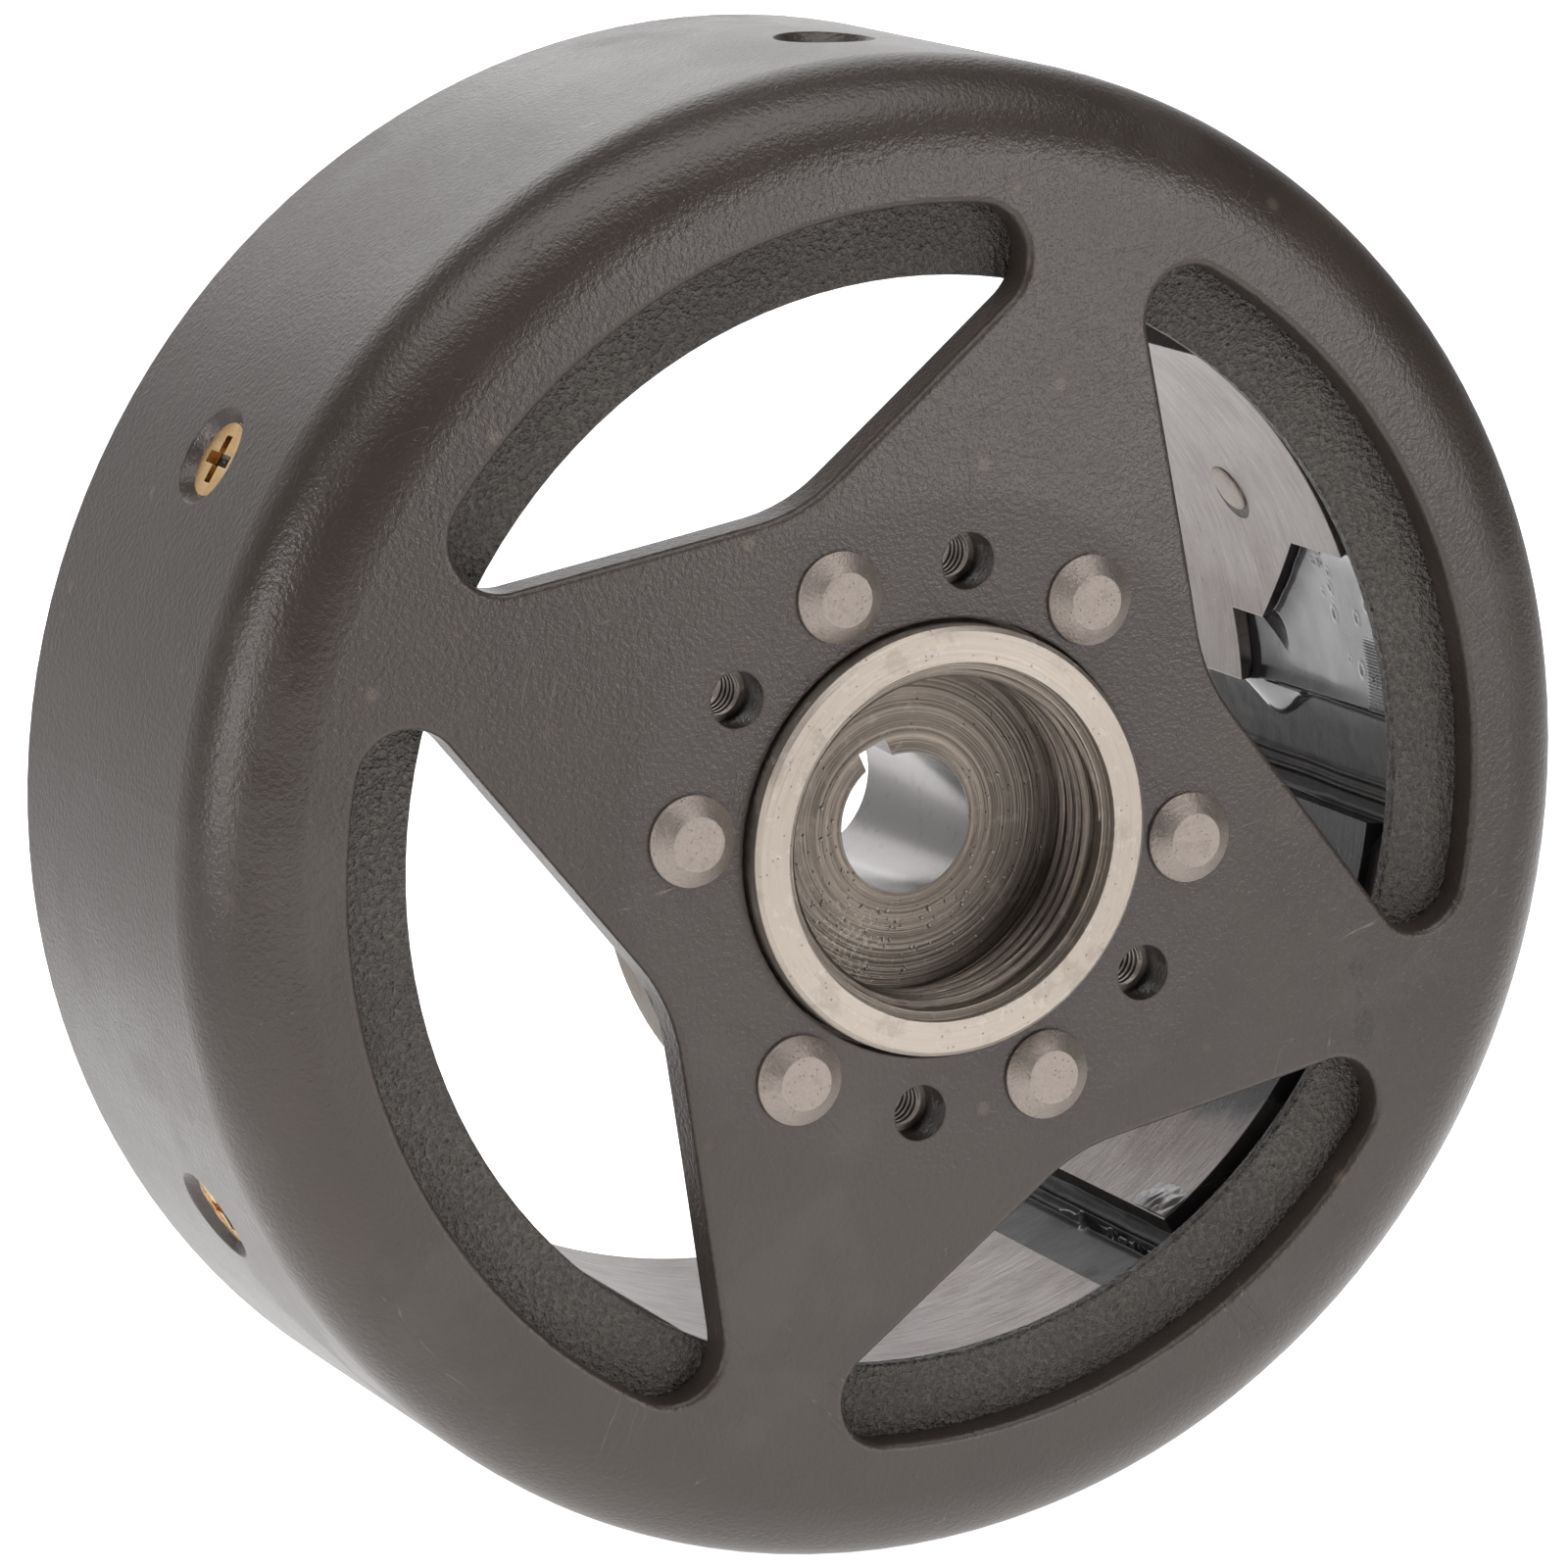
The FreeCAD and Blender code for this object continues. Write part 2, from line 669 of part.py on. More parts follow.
def build_pole_screws():
    """Six countersunk cross-recess screws, from the cup wall through magnet and shoe."""
    body = new_body("pole_screws", sheet.get("pole_angle"))
    shank = size("screw_radius")
    head = size("screw_head")
    seat = size("screw_seat")
    tip = size("screw_tip")
    point = size("screw_point")
    crown = size("screw_crown")
    rim = seat - crown - size("screw_rim")
    profile = new_sketch(body, "screw_profile", "XZ_Plane", (0, -size("screw_depth"), 0))
    draw_outline(profile, [
        (tip, 0),
        (tip, shank - point),
        (tip + point, shank),
        (rim - (head - shank), shank),
        (rim, head),
        (seat - crown, head),
        (seat, head - crown),
        (seat, 0),
    ])
    turned = revolve(body, profile, "H_Axis")
    recess = new_sketch(body, "screw_recess", "YZ_Plane", (0, -size("screw_depth"), seat))
    draw_cross(recess, size("recess_reach"), size("recess_width"))
    cut = pocket(body, recess, size("recess_depth"), taper=size("recess_taper"))
    repeat_round(body, [turned, cut], POLES)
    return body


def draw_cross(sketch, reach, width):
    """Cross with four equal arms."""
    quarter = [(reach, width), (width, width), (width, reach)]
    corners = []
    for turn in range(4):
        for across, along in quarter:
            corners.append(quarter_turned(across, along, turn))
    draw_outline(sketch, corners)


def quarter_turned(across, along, turns):
    """Point turned by quarter turns about the origin."""
    for _ in range(turns):
        across, along = -along, across
    return across, along


# --- Document ------------------------------------------------------------------------------------

def build_all():
    """Every node, in order."""
    bodies = [build_rotor_cup(), build_hub(), build_hub_rivets(), build_stop_ring()]
    bodies += [build_magnet(index) for index in range(POLES)]
    bodies += [build_pole_shoe(index) for index in range(POLES)]
    bodies += [build_resin_seam(index) for index in range(POLES)]
    bodies.append(build_pole_screws())
    return bodies


def check_document():
    """Stop at any feature that failed to build."""
    for item in doc.Objects:
        if "Invalid" in item.State or "Error" in item.State:
            raise ValueError(f"{item.Name} did not build: {item.State}")


def write_parts(bodies):
    """One STEP file per node."""
    os.makedirs("parts", exist_ok=True)
    for body in bodies:
        shape = body.Shape
        if shape.isNull() or not shape.isValid() or shape.Volume <= 0:
            raise ValueError(f"{body.Label} has no valid solid")
        shape.exportStep(f"parts/{body.Label}.step")
        print(f"{body.Label}: {len(shape.Solids)} solid(s), {shape.Volume:.1f} mm3")


doc = FreeCAD.newDocument("Flywheel")
sheet = make_sheet()
nodes = build_all()
doc.recompute()
check_document()
write_parts(nodes)
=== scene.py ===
import json
import logging
import math
import random
from dataclasses import dataclass, field
from enum import Enum
from typing import Callable, Optional, Sequence, Union

import bmesh
import bpy
from mathutils import Matrix, Vector, noise


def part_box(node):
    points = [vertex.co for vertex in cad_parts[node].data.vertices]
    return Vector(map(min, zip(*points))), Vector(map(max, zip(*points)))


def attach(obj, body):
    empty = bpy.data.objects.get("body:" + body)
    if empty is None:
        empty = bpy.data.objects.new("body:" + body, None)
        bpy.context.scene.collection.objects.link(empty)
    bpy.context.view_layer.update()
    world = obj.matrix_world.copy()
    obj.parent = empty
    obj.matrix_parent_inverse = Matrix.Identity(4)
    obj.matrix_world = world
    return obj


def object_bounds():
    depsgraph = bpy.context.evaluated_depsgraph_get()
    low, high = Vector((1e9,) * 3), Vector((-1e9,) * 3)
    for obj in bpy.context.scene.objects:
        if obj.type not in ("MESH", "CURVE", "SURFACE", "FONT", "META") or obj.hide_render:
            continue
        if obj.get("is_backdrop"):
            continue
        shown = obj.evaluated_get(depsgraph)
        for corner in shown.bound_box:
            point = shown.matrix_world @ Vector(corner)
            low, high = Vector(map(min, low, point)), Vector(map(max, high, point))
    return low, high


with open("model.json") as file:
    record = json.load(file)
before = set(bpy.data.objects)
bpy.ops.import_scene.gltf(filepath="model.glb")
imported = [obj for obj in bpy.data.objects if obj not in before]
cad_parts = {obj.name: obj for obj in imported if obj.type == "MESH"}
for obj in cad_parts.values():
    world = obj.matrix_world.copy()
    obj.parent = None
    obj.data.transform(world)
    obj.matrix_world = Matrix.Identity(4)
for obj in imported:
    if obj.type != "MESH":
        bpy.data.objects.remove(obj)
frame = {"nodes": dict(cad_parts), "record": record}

# Generator flywheel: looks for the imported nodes, and the pieces too fine or too loose for CAD.
#
# Lengths are millimetres in the classes and metres in Blender. A place on the flywheel is given
# by its radius, its clock angle in the flywheel's own clocking, and its depth behind the front
# face. The spin axis is world Y and the front looks towards -Y.

MM = 0.001
BODY = "root"
Colour = tuple[float, float, float]
Socket = bpy.types.NodeSocket
Sockets = bpy.types.bpy_prop_collection
Value = Union[float, Sequence[float], Socket]
log = logging.getLogger("flywheel")


class Slot(Enum):
    """The record's material slots."""

    BLACK_COAT = "black_coat"
    TURNED_STEEL = "turned_steel"
    RIVET_STEEL = "rivet_steel"
    COARSE_BLACK = "coarse_black"
    FERRITE = "ferrite"
    SHOE_STEEL = "shoe_steel"
    RESIN = "resin"
    GOLD_ZINC = "gold_zinc"


# --- Places on the flywheel ----------------------------------------------------------------------

@dataclass(frozen=True)
class Clock:
    """Turns radius, clock angle and depth into world places."""

    offset: float

    @classmethod
    def from_record(cls, record: dict) -> "Clock":
        """Read the clocking from the first puller hole, which stands at 90 degrees.

        Args:
            record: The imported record.

        Returns:
            The clock whose 90 degree mark passes through that hole.
        """
        hole = next(m for m in record["mounts"] if m["name"] == "puller_hole_1")
        across, _, up = hole["pos_m"]
        return cls(math.atan2(up, across) - math.pi / 2)

    def place(self, radius: float, angle: float, depth: float) -> Vector:
        """World place in metres.

        Args:
            radius: Distance from the spin axis, mm.
            angle: Clock angle in degrees.
            depth: Distance behind the front face, mm.

        Returns:
            The place as a vector in metres.
        """
        turn = math.radians(angle) + self.offset
        flat = Vector((radius * math.cos(turn), depth, radius * math.sin(turn)))
        return flat * MM

    def outward(self, angle: float) -> Vector:
        """Unit vector away from the axis at a clock angle."""
        turn = math.radians(angle) + self.offset
        return Vector((math.cos(turn), 0.0, math.sin(turn)))


# --- Meshes --------------------------------------------------------------------------------------

@dataclass
class Draft:
    """Vertices and faces of a piece while it is drawn."""

    points: list[Vector] = field(default_factory=list)
    faces: list[tuple[int, ...]] = field(default_factory=list)

    def add_grid(self, rows: Sequence[Sequence[Vector]], loop_rows: bool = False) -> list[list[int]]:
        """Add a grid of quads.

        Args:
            rows: Points row by row, every row of the same length.
            loop_rows: Whether each row closes on itself.

        Returns:
            The index of every point.
        """
        start = len(self.points)
        wide = len(rows[0])
        index = [[start + r * wide + c for c in range(wide)] for r in range(len(rows))]
        for row in rows:
            self.points.extend(row)
        last = wide if loop_rows else wide - 1
        for r in range(len(rows) - 1):
            for c in range(last):
                d = (c + 1) % wide
                self.faces.append((index[r][c], index[r][d], index[r + 1][d], index[r + 1][c]))
        return index

    def close_grids(self, front: list[list[int]], back: list[list[int]]) -> None:
        """Join the borders of two grids of one size into a closed shell.

        Args:
            front: Indices of the front grid.
            back: Indices of the back grid, in the same order.
        """
        def border(grid: list[list[int]]) -> list[int]:
            """Indices round the edge of a grid."""
            right = [row[-1] for row in grid[1:-1]]
            left = [row[0] for row in reversed(grid[1:-1])]
            return grid[0] + right + list(reversed(grid[-1])) + left

        first, second = border(front), border(back)
        count = len(first)
        for here in range(count):
            there = (here + 1) % count
            self.faces.append((first[there], first[here], second[here], second[there]))

    def finish(self, name: str, material: bpy.types.Material, slot: Slot) -> bpy.types.Object:
        """Make the object, with smooth faces that all look outwards, and let it ride.

        Args:
            name: Name of the piece.
            material: Its finish.
            slot: The record's slot that it belongs to; not used.

        Returns:
            The linked object.
        """
        mesh = bpy.data.meshes.new(name)
        mesh.from_pydata([tuple(point) for point in self.points], [], self.faces)
        mesh.validate()
        mesh.polygons.foreach_set("use_smooth", [True] * len(mesh.polygons))
        piece = bpy.data.objects.new(name, mesh)
        bpy.context.scene.collection.objects.link(piece)
        face_outwards(piece)
        mesh.materials.append(material)
        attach(piece, BODY)
        log.info("built %s: %d faces", name, len(mesh.polygons))
        return piece


def face_outwards(piece: bpy.types.Object) -> None:
    """Make a piece's faces look outwards.

    Args:
        piece: A mesh object made of closed shells.
    """
    work = bmesh.new()
    work.from_mesh(piece.data)
    bmesh.ops.recalc_face_normals(work, faces=work.faces)
    work.to_mesh(piece.data)
    work.free()


def ease(low: float, high: float, amount: float) -> float:
    """Smooth step from 0 at low to 1 at high."""
    part = min(1.0, max(0.0, (amount - low) / (high - low)))
    return part * part * (3.0 - 2.0 * part)


def shade(colour: Colour, factor: float) -> Colour:
    """A colour made darker or lighter."""
    return tuple(part * factor for part in colour)


def ripple(point: Vector, scale: float, seed: float = 0.0) -> float:
    """Smooth noise between -1 and 1 at a place in metres, scale being the lumps' size in mm."""
    return noise.noise(point / (scale * MM) + Vector((seed, seed * 1.7, -seed)))


# --- Shader building -----------------------------------------------------------------------------

class Shader:
    """Short-hand for adding nodes to a tree and joining them."""

    def __init__(self, tree: bpy.types.NodeTree) -> None:
        """Keep the tree that nodes are added to."""
        self.tree = tree

    def feed(self, socket: Socket, value: Value) -> None:
        """Link a socket, or set its own value."""
        if isinstance(value, bpy.types.NodeSocket):
            self.tree.links.new(value, socket)
        elif hasattr(socket.default_value, "__len__") and not isinstance(value, float):
            wanted = len(socket.default_value)
            socket.default_value = (list(value) + [1.0])[:wanted]
        else:
            socket.default_value = value

    def add(self, kind: str, links: Optional[dict] = None, **settings: object) -> bpy.types.Node:
        """Add a node.

        Args:
            kind: Type of the node.
            links: Values or sockets for its inputs, by name or number.
            **settings: Properties of the node.

        Returns:
            The new node.
        """
        node = self.tree.nodes.new(kind)
        for key, value in settings.items():
            setattr(node, key, value)
        for key, value in (links or {}).items():
            self.feed(node.inputs[key], value)
        return node

    def maths(self, operation: str, first: Value, second: Value = 0.0, clamp: bool = False) -> Socket:
        """Add a Math node.

        Args:
            operation: What it works out.
            first: First number.
            second: Second number, where the operation takes one.
            clamp: Whether the result is kept between 0 and 1.

        Returns:
            The result.
        """
        node = self.add("ShaderNodeMath", {0: first, 1: second}, operation=operation)
        node.use_clamp = clamp
        return node.outputs[0]

    def times(self, first: Value, second: Value) -> Socket:
        """Product of two numbers."""
        return self.maths("MULTIPLY", first, second)

    def plus(self, first: Value, second: Value) -> Socket:
        """Sum of two numbers."""
        return self.maths("ADD", first, second)

    def minus(self, first: Value, second: Value, clamp: bool = False) -> Socket:
        """Difference of two numbers."""
        return self.maths("SUBTRACT", first, second, clamp)

    def over(self, first: Value, second: Value, clamp: bool = False) -> Socket:
        """Quotient of two numbers."""
        return self.maths("DIVIDE", first, second, clamp)

    def vector(self, operation: str, first: Value, second: Value = (0.0, 0.0, 0.0)) -> Socket:
        """Vector result of a Vector Math node."""
        node = self.add("ShaderNodeVectorMath", {0: first, 1: second}, operation=operation)
        return node.outputs[0]

    def measure(self, operation: str, first: Value, second: Value = (0.0, 0.0, 0.0)) -> Socket:
        """Number from a Vector Math node."""
        node = self.add("ShaderNodeVectorMath", {0: first, 1: second}, operation=operation)
        return node.outputs["Value"]

    def grow(self, place: Value, factor: Value) -> Socket:
        """A place scaled by a number."""
        node = self.add("ShaderNodeVectorMath", {0: place, "Scale": factor}, operation="SCALE")
        return node.outputs[0]

    def step(self, amount: Value, low: Value, high: Value, start: Value = 0.0,
             end: Value = 1.0) -> Socket:
        """Add a smooth step.

        Args:
            amount: What is stepped.
            low: Amount where the step starts.
            high: Amount where it ends.
            start: Result at low and below.
            end: Result at high and above.

        Returns:
            The result.
        """
        links = {0: amount, 1: low, 2: high, 3: start, 4: end}
        node = self.add("ShaderNodeMapRange", links, interpolation_type="SMOOTHSTEP")
        return node.outputs[0]

    def noise(self, place: Value, scale: Value, detail: float = 2.0, rough: float = 0.5) -> Socket:
        """Noise between 0 and 1; scale is in features per unit of place."""
        links = {"Vector": place, "Scale": scale, "Detail": detail, "Roughness": rough}
        return self.add("ShaderNodeTexNoise", links).outputs[0]

    def mix_of(self, kind: str, first_input: int, values: tuple[Value, Value, Value]) -> bpy.types.Node:
        """Add a Mix node.

        Args:
            kind: Whether it mixes "RGBA" or "FLOAT".
            first_input: Number of the first of its two inputs of that kind.
            values: Factor, first and second value.

        Returns:
            The node.
        """
        node = self.add("ShaderNodeMix", data_type=kind)
        for number, value in zip((0, first_input, first_input + 1), values):
            self.feed(node.inputs[number], value)
        return node

    def mix(self, factor: Value, first: Value, second: Value) -> Socket:
        """Mix of two colours."""
        return self.mix_of("RGBA", 6, (factor, first, second)).outputs[2]

    def lay(self, colour: Value, mask: Value, top: Value, share: float) -> Socket:
        """A colour with another laid over it, by a mask times a share."""
        return self.mix(self.times(mask, share), colour, top)

    def blend(self, factor: Value, first: Value, second: Value) -> Socket:
        """Mix of two numbers."""
        return self.mix_of("FLOAT", 2, (factor, first, second)).outputs[0]

    def split(self, place: Value) -> Sockets:
        """Separate X, Y and Z."""
        return self.add("ShaderNodeSeparateXYZ", {0: place}).outputs

    def join(self, x: Value, y: Value, z: Value) -> Socket:
        """Combine X, Y and Z."""
        return self.add("ShaderNodeCombineXYZ", {0: x, 1: y, 2: z}).outputs[0]

    def from_axis(self, place: Value) -> Socket:
        """Distance of a place from the spin axis."""
        x, _, z = self.split(place)[:3]
        return self.measure("LENGTH", self.join(x, 0.0, z))


class Effect:
    """A shader node group with named sockets, built once and placed in many finishes."""

    name: str = ""
    inputs: dict[str, Value] = {}
    outputs: tuple[str, ...] = ()

    def __init__(self) -> None:
        """Make the group's sockets and draw its inside."""
        self.group = bpy.data.node_groups.new(self.name, "ShaderNodeTree")
        for label, default in self.inputs.items():
            kind = "NodeSocketFloat" if isinstance(default, float) else "NodeSocketVector"
            socket = self.group.interface.new_socket(label, in_out="INPUT", socket_type=kind)
            socket.default_value = default
        for label in self.outputs:
            self.group.interface.new_socket(label, in_out="OUTPUT", socket_type="NodeSocketFloat")
        shader = Shader(self.group)
        entry = shader.add("NodeGroupInput").outputs
        results = self.draw(shader, entry)
        leave = shader.add("NodeGroupOutput")
        for label, value in zip(self.outputs, results):
            shader.feed(leave.inputs[label], value)

    def draw(self, shader: Shader, entry: Sockets) -> tuple:
        """Draw the inside of the group.

        Args:
            shader: Adds nodes to the group.
            entry: The group's inputs by name.

        Returns:
            One value for each output, in order.
        """
        raise NotImplementedError

    def use(self, shader: Shader, **inputs: Value) -> Sockets:
        """Place the group in a finish.

        Args:
            shader: The finish's nodes.
            **inputs: Values by socket name, with underscores for spaces.

        Returns:
            The outputs of the placed group.
        """
        node = shader.add("ShaderNodeGroup", node_tree=self.group)
        for label, value in inputs.items():
            shader.feed(node.inputs[label.replace("_", " ").capitalize()], value)
        return node.outputs


class CoatSkin(Effect):
    """Skin of a sprayed coat: orange peel over slow swells, with a mottle of tone."""

    name = "Coat skin"
    inputs = {"Place": (0.0, 0.0, 0.0), "Grain": 1.0, "Swell": 0.4}
    outputs = ("Height", "Mottle")

    def draw(self, shader: Shader, entry: Sockets) -> tuple:
        """Layer three sizes of noise; returns height and mottle."""
        pitch = shader.over(1.0, entry["Grain"])
        peel = shader.noise(entry["Place"], pitch, 2.0, 0.55)
        fine = shader.noise(entry["Place"], shader.times(pitch, 3.1), 1.0)
        swell = shader.noise(entry["Place"], 0.09, 1.0)
        height = shader.plus(peel, shader.times(fine, 0.3))
        lift = shader.times(swell, entry["Swell"])
        return shader.plus(height, lift), shader.noise(entry["Place"], 0.05, 5.0, 0.62)


class TurningMarks(Effect):
    """Rings that a lathe tool leaves about the spin axis, on faces and on walls."""

    name = "Turning marks"
    inputs = {"Place": (0.0, 0.0, 0.0), "Pitch": 0.25, "Drift": 0.02}
    outputs = ("Height", "Tone")

    def draw(self, shader: Shader, entry: Sockets) -> tuple:
        """Noise along radius and depth only, with a slow drift round the axis."""
        x, y, z = shader.split(entry["Place"])[:3]
        reach = shader.from_axis(entry["Place"])
        drift = shader.times(x, entry["Drift"])
        turn = shader.times(z, entry["Drift"])
        along = shader.join(shader.plus(reach, drift), y, turn)
        pitch = shader.over(1.0, entry["Pitch"])
        height = shader.noise(along, pitch, 3.0, 0.7)
        tone = shader.noise(along, shader.times(pitch, 0.3), 3.0, 0.6)
        return height, tone


class DrawnGrain(Effect):
    """Straight grain of brushed or drawn steel, running round the flywheel's wall."""

    name = "Drawn grain"
    inputs = {"Place": (0.0, 0.0, 0.0), "Pitch": 0.3, "Length": 14.0}
    outputs = ("Height", "Tone")

    def draw(self, shader: Shader, entry: Sockets) -> tuple:
        """Noise squeezed along depth; returns height and tone."""
        x, y, z = shader.split(entry["Place"])[:3]
        long = shader.over(1.0, entry["Length"])
        fine = shader.over(1.0, entry["Pitch"])
        across = shader.join(shader.times(x, long), shader.times(y, fine), shader.times(z, long))
        height = shader.noise(across, 1.0, 4.0, 0.65)
        tone = shader.noise(across, 0.22, 3.0, 0.6)
        return height, tone


class Stains(Effect):
    """Soft-edged patches with a darker rim, where a liquid dried."""

    name = "Stains"
    inputs = {"Place": (0.0, 0.0, 0.0), "Spread": 6.0, "Cover": 0.5}
    outputs = ("Mask", "Rim")

    def draw(self, shader: Shader, entry: Sockets) -> tuple:
        """Threshold warped noise; returns the patch and its rim."""
        scale = shader.over(1.0, entry["Spread"])
        field_ = shader.noise(entry["Place"], scale, 6.0, 0.6)
        edge = shader.minus(1.0, entry["Cover"])
        after = shader.plus(edge, 0.09)
        mask = shader.step(field_, edge, after)
        past = shader.step(field_, after, shader.plus(after, 0.05))
        return mask, shader.minus(mask, past, clamp=True)


class Hairlines(Effect):
    """Random fine scratches in three directions over a flat face."""

    name = "Hairlines"
    inputs = {"Place": (0.0, 0.0, 0.0), "Span": 9.0, "Amount": 0.5}
    outputs = ("Mask",)

    def draw(self, shader: Shader, entry: Sockets) -> tuple:
        """Ridges of noise drawn out along three directions, broken into short runs."""
        total: Value = 0.0
        for number, tilt in enumerate((17.0, 74.0, 131.0)):
            turned = shader.add("ShaderNodeVectorRotate", {
                "Vector": entry["Place"], "Axis": (0.0, 1.0, 0.0), "Angle": math.radians(tilt)})
            spread = shader.over(0.5, entry["Span"])
            x, y, z = shader.split(turned.outputs[0])[:3]
            drawn = shader.join(shader.times(x, spread), y, z)
            ridge = shader.noise(drawn, 0.8 + 0.13 * number, 1.0, 0.3)
            thin = shader.maths("ABSOLUTE", shader.minus(ridge, 0.5))
            line = shader.step(thin, 0.0, 0.006, 1.0, 0.0)
            gaps = shader.noise(shader.vector("ADD", drawn, (7.0 * number, 3.0, 5.0)), 0.31, 1.0)
            limit = shader.minus(0.86, shader.times(entry["Amount"], 0.3))
            run = shader.step(gaps, limit, shader.plus(limit, 0.04))
            total = shader.maths("MAXIMUM", total, shader.times(line, run))
        return (total,)


class Stroke(Effect):
    """One scratch from a start to an end, slightly bowed and broken."""

    name = "Stroke"
    inputs = {"Place": (0.0, 0.0, 0.0), "Start": (0.0, 0.0, 0.0), "Finish": (1.0, 0.0, 0.0),
              "Width": 0.08}
    outputs = ("Mask",)

    def draw(self, shader: Shader, entry: Sockets) -> tuple:
        """Distance to the segment, after a little warp."""
        warp = shader.add("ShaderNodeTexNoise", {"Vector": entry["Place"], "Scale": 0.35})
        sway = shader.grow(shader.vector("SUBTRACT", warp.outputs[1], (0.5, 0.5, 0.5)), 0.9)
        place = shader.vector("ADD", entry["Place"], sway)
        offset = shader.vector("SUBTRACT", place, entry["Start"])
        run = shader.vector("SUBTRACT", entry["Finish"], entry["Start"])
        ahead = shader.over(shader.measure("DOT_PRODUCT", offset, run),
                            shader.measure("DOT_PRODUCT", run, run), clamp=True)
        foot = shader.grow(run, ahead)
        away = shader.measure("LENGTH", shader.vector("SUBTRACT", offset, foot))
        line = shader.step(away, 0.0, entry["Width"], 1.0, 0.0)
        broken = shader.step(shader.noise(entry["Place"], 1.6, 2.0), 0.38, 0.5)
        return (shader.times(line, broken),)


class Pits(Effect):
    """Small pits and specks."""

    name = "Pits"
    inputs = {"Place": (0.0, 0.0, 0.0), "Spacing": 1.0, "Share": 0.25}
    outputs = ("Mask",)

    def draw(self, shader: Shader, entry: Sockets) -> tuple:
        """Distance to scattered points, kept only where noise allows."""
        scale = shader.over(1.0, entry["Spacing"])
        cells = shader.add("ShaderNodeTexVoronoi", {"Vector": entry["Place"], "Scale": scale})
        dot = shader.step(cells.outputs["Distance"], 0.08, 0.24, 1.0, 0.0)
        chance = shader.split(cells.outputs["Color"])[0]
        kept = shader.maths("LESS_THAN", chance, entry["Share"])
        return (shader.times(dot, kept),)


class EdgeRub(Effect):
    """Where an edge is rubbed bare or catches dirt, from how fast the surface turns."""

    name = "Edge rub"
    inputs = {"Place": (0.0, 0.0, 0.0), "Rounded": (0.0, 0.0, 1.0), "Breakup": 0.5}
    outputs = ("Mask",)

    def draw(self, shader: Shader, entry: Sockets) -> tuple:
        """Compare the rounded normal with the true one."""
        true = shader.add("ShaderNodeNewGeometry").outputs["Normal"]
        same = shader.measure("DOT_PRODUCT", true, entry["Rounded"])
        turned = shader.step(same, 0.86, 0.998, 1.0, 0.0)
        patch = shader.noise(entry["Place"], 1.1, 4.0, 0.7)
        low = shader.times(entry["Breakup"], 0.8)
        kept = shader.step(patch, low, shader.plus(low, 0.15))
        return (shader.times(turned, kept),)


@dataclass
class Effects:
    """Every shared effect, built once."""

    coat: CoatSkin = field(default_factory=CoatSkin)
    turning: TurningMarks = field(default_factory=TurningMarks)
    drawn: DrawnGrain = field(default_factory=DrawnGrain)
    stains: Stains = field(default_factory=Stains)
    hairlines: Hairlines = field(default_factory=Hairlines)
    stroke: Stroke = field(default_factory=Stroke)
    pits: Pits = field(default_factory=Pits)
    rub: EdgeRub = field(default_factory=EdgeRub)


# --- Finishes ------------------------------------------------------------------------------------

class Finish:
    """A material of the flywheel. Each finish draws its own nodes on a Principled surface."""

    label: str = "finish"

    def make(self, effects: Effects) -> bpy.types.Material:
        """Build the material.

        Args:
            effects: The shared effects.

        Returns:
            The new material.
        """
        material = bpy.data.materials.new(self.label)
        material.use_nodes = True
        material.node_tree.nodes.clear()
        shader = Shader(material.node_tree)
        surface = shader.add("ShaderNodeBsdfPrincipled")
        leave = shader.add("ShaderNodeOutputMaterial")
        shader.feed(leave.inputs["Surface"], surface.outputs[0])
        place = shader.grow(shader.add("ShaderNodeTexCoord").outputs["Object"], 1.0 / MM)
        self.draw(shader, surface, place, effects)
        return material

    def draw(self, shader: Shader, surface: bpy.types.Node, place: Value, effects: Effects) -> None:
        """Draw the finish.

        Args:
            shader: Adds nodes to the material.
            surface: The Principled node.
            place: Position in millimetres.
            effects: The shared effects.
        """
        raise NotImplementedError

    @staticmethod
    def rounded(shader: Shader, radius: float) -> Socket:
        """Normal with edges rounded by a radius in mm."""
        return shader.add("ShaderNodeBevel", {"Radius": radius * MM}, samples=4).outputs[0]

    @staticmethod
    def bump(shader: Shader, height: Value, depth: float, normal: Value, strength: float = 1.0) -> Socket:
        """Normal bent by a height that runs over depth millimetres."""
        links = {"Height": height, "Distance": depth * MM, "Strength": strength, "Normal": normal}
        return shader.add("ShaderNodeBump", links).outputs[0]


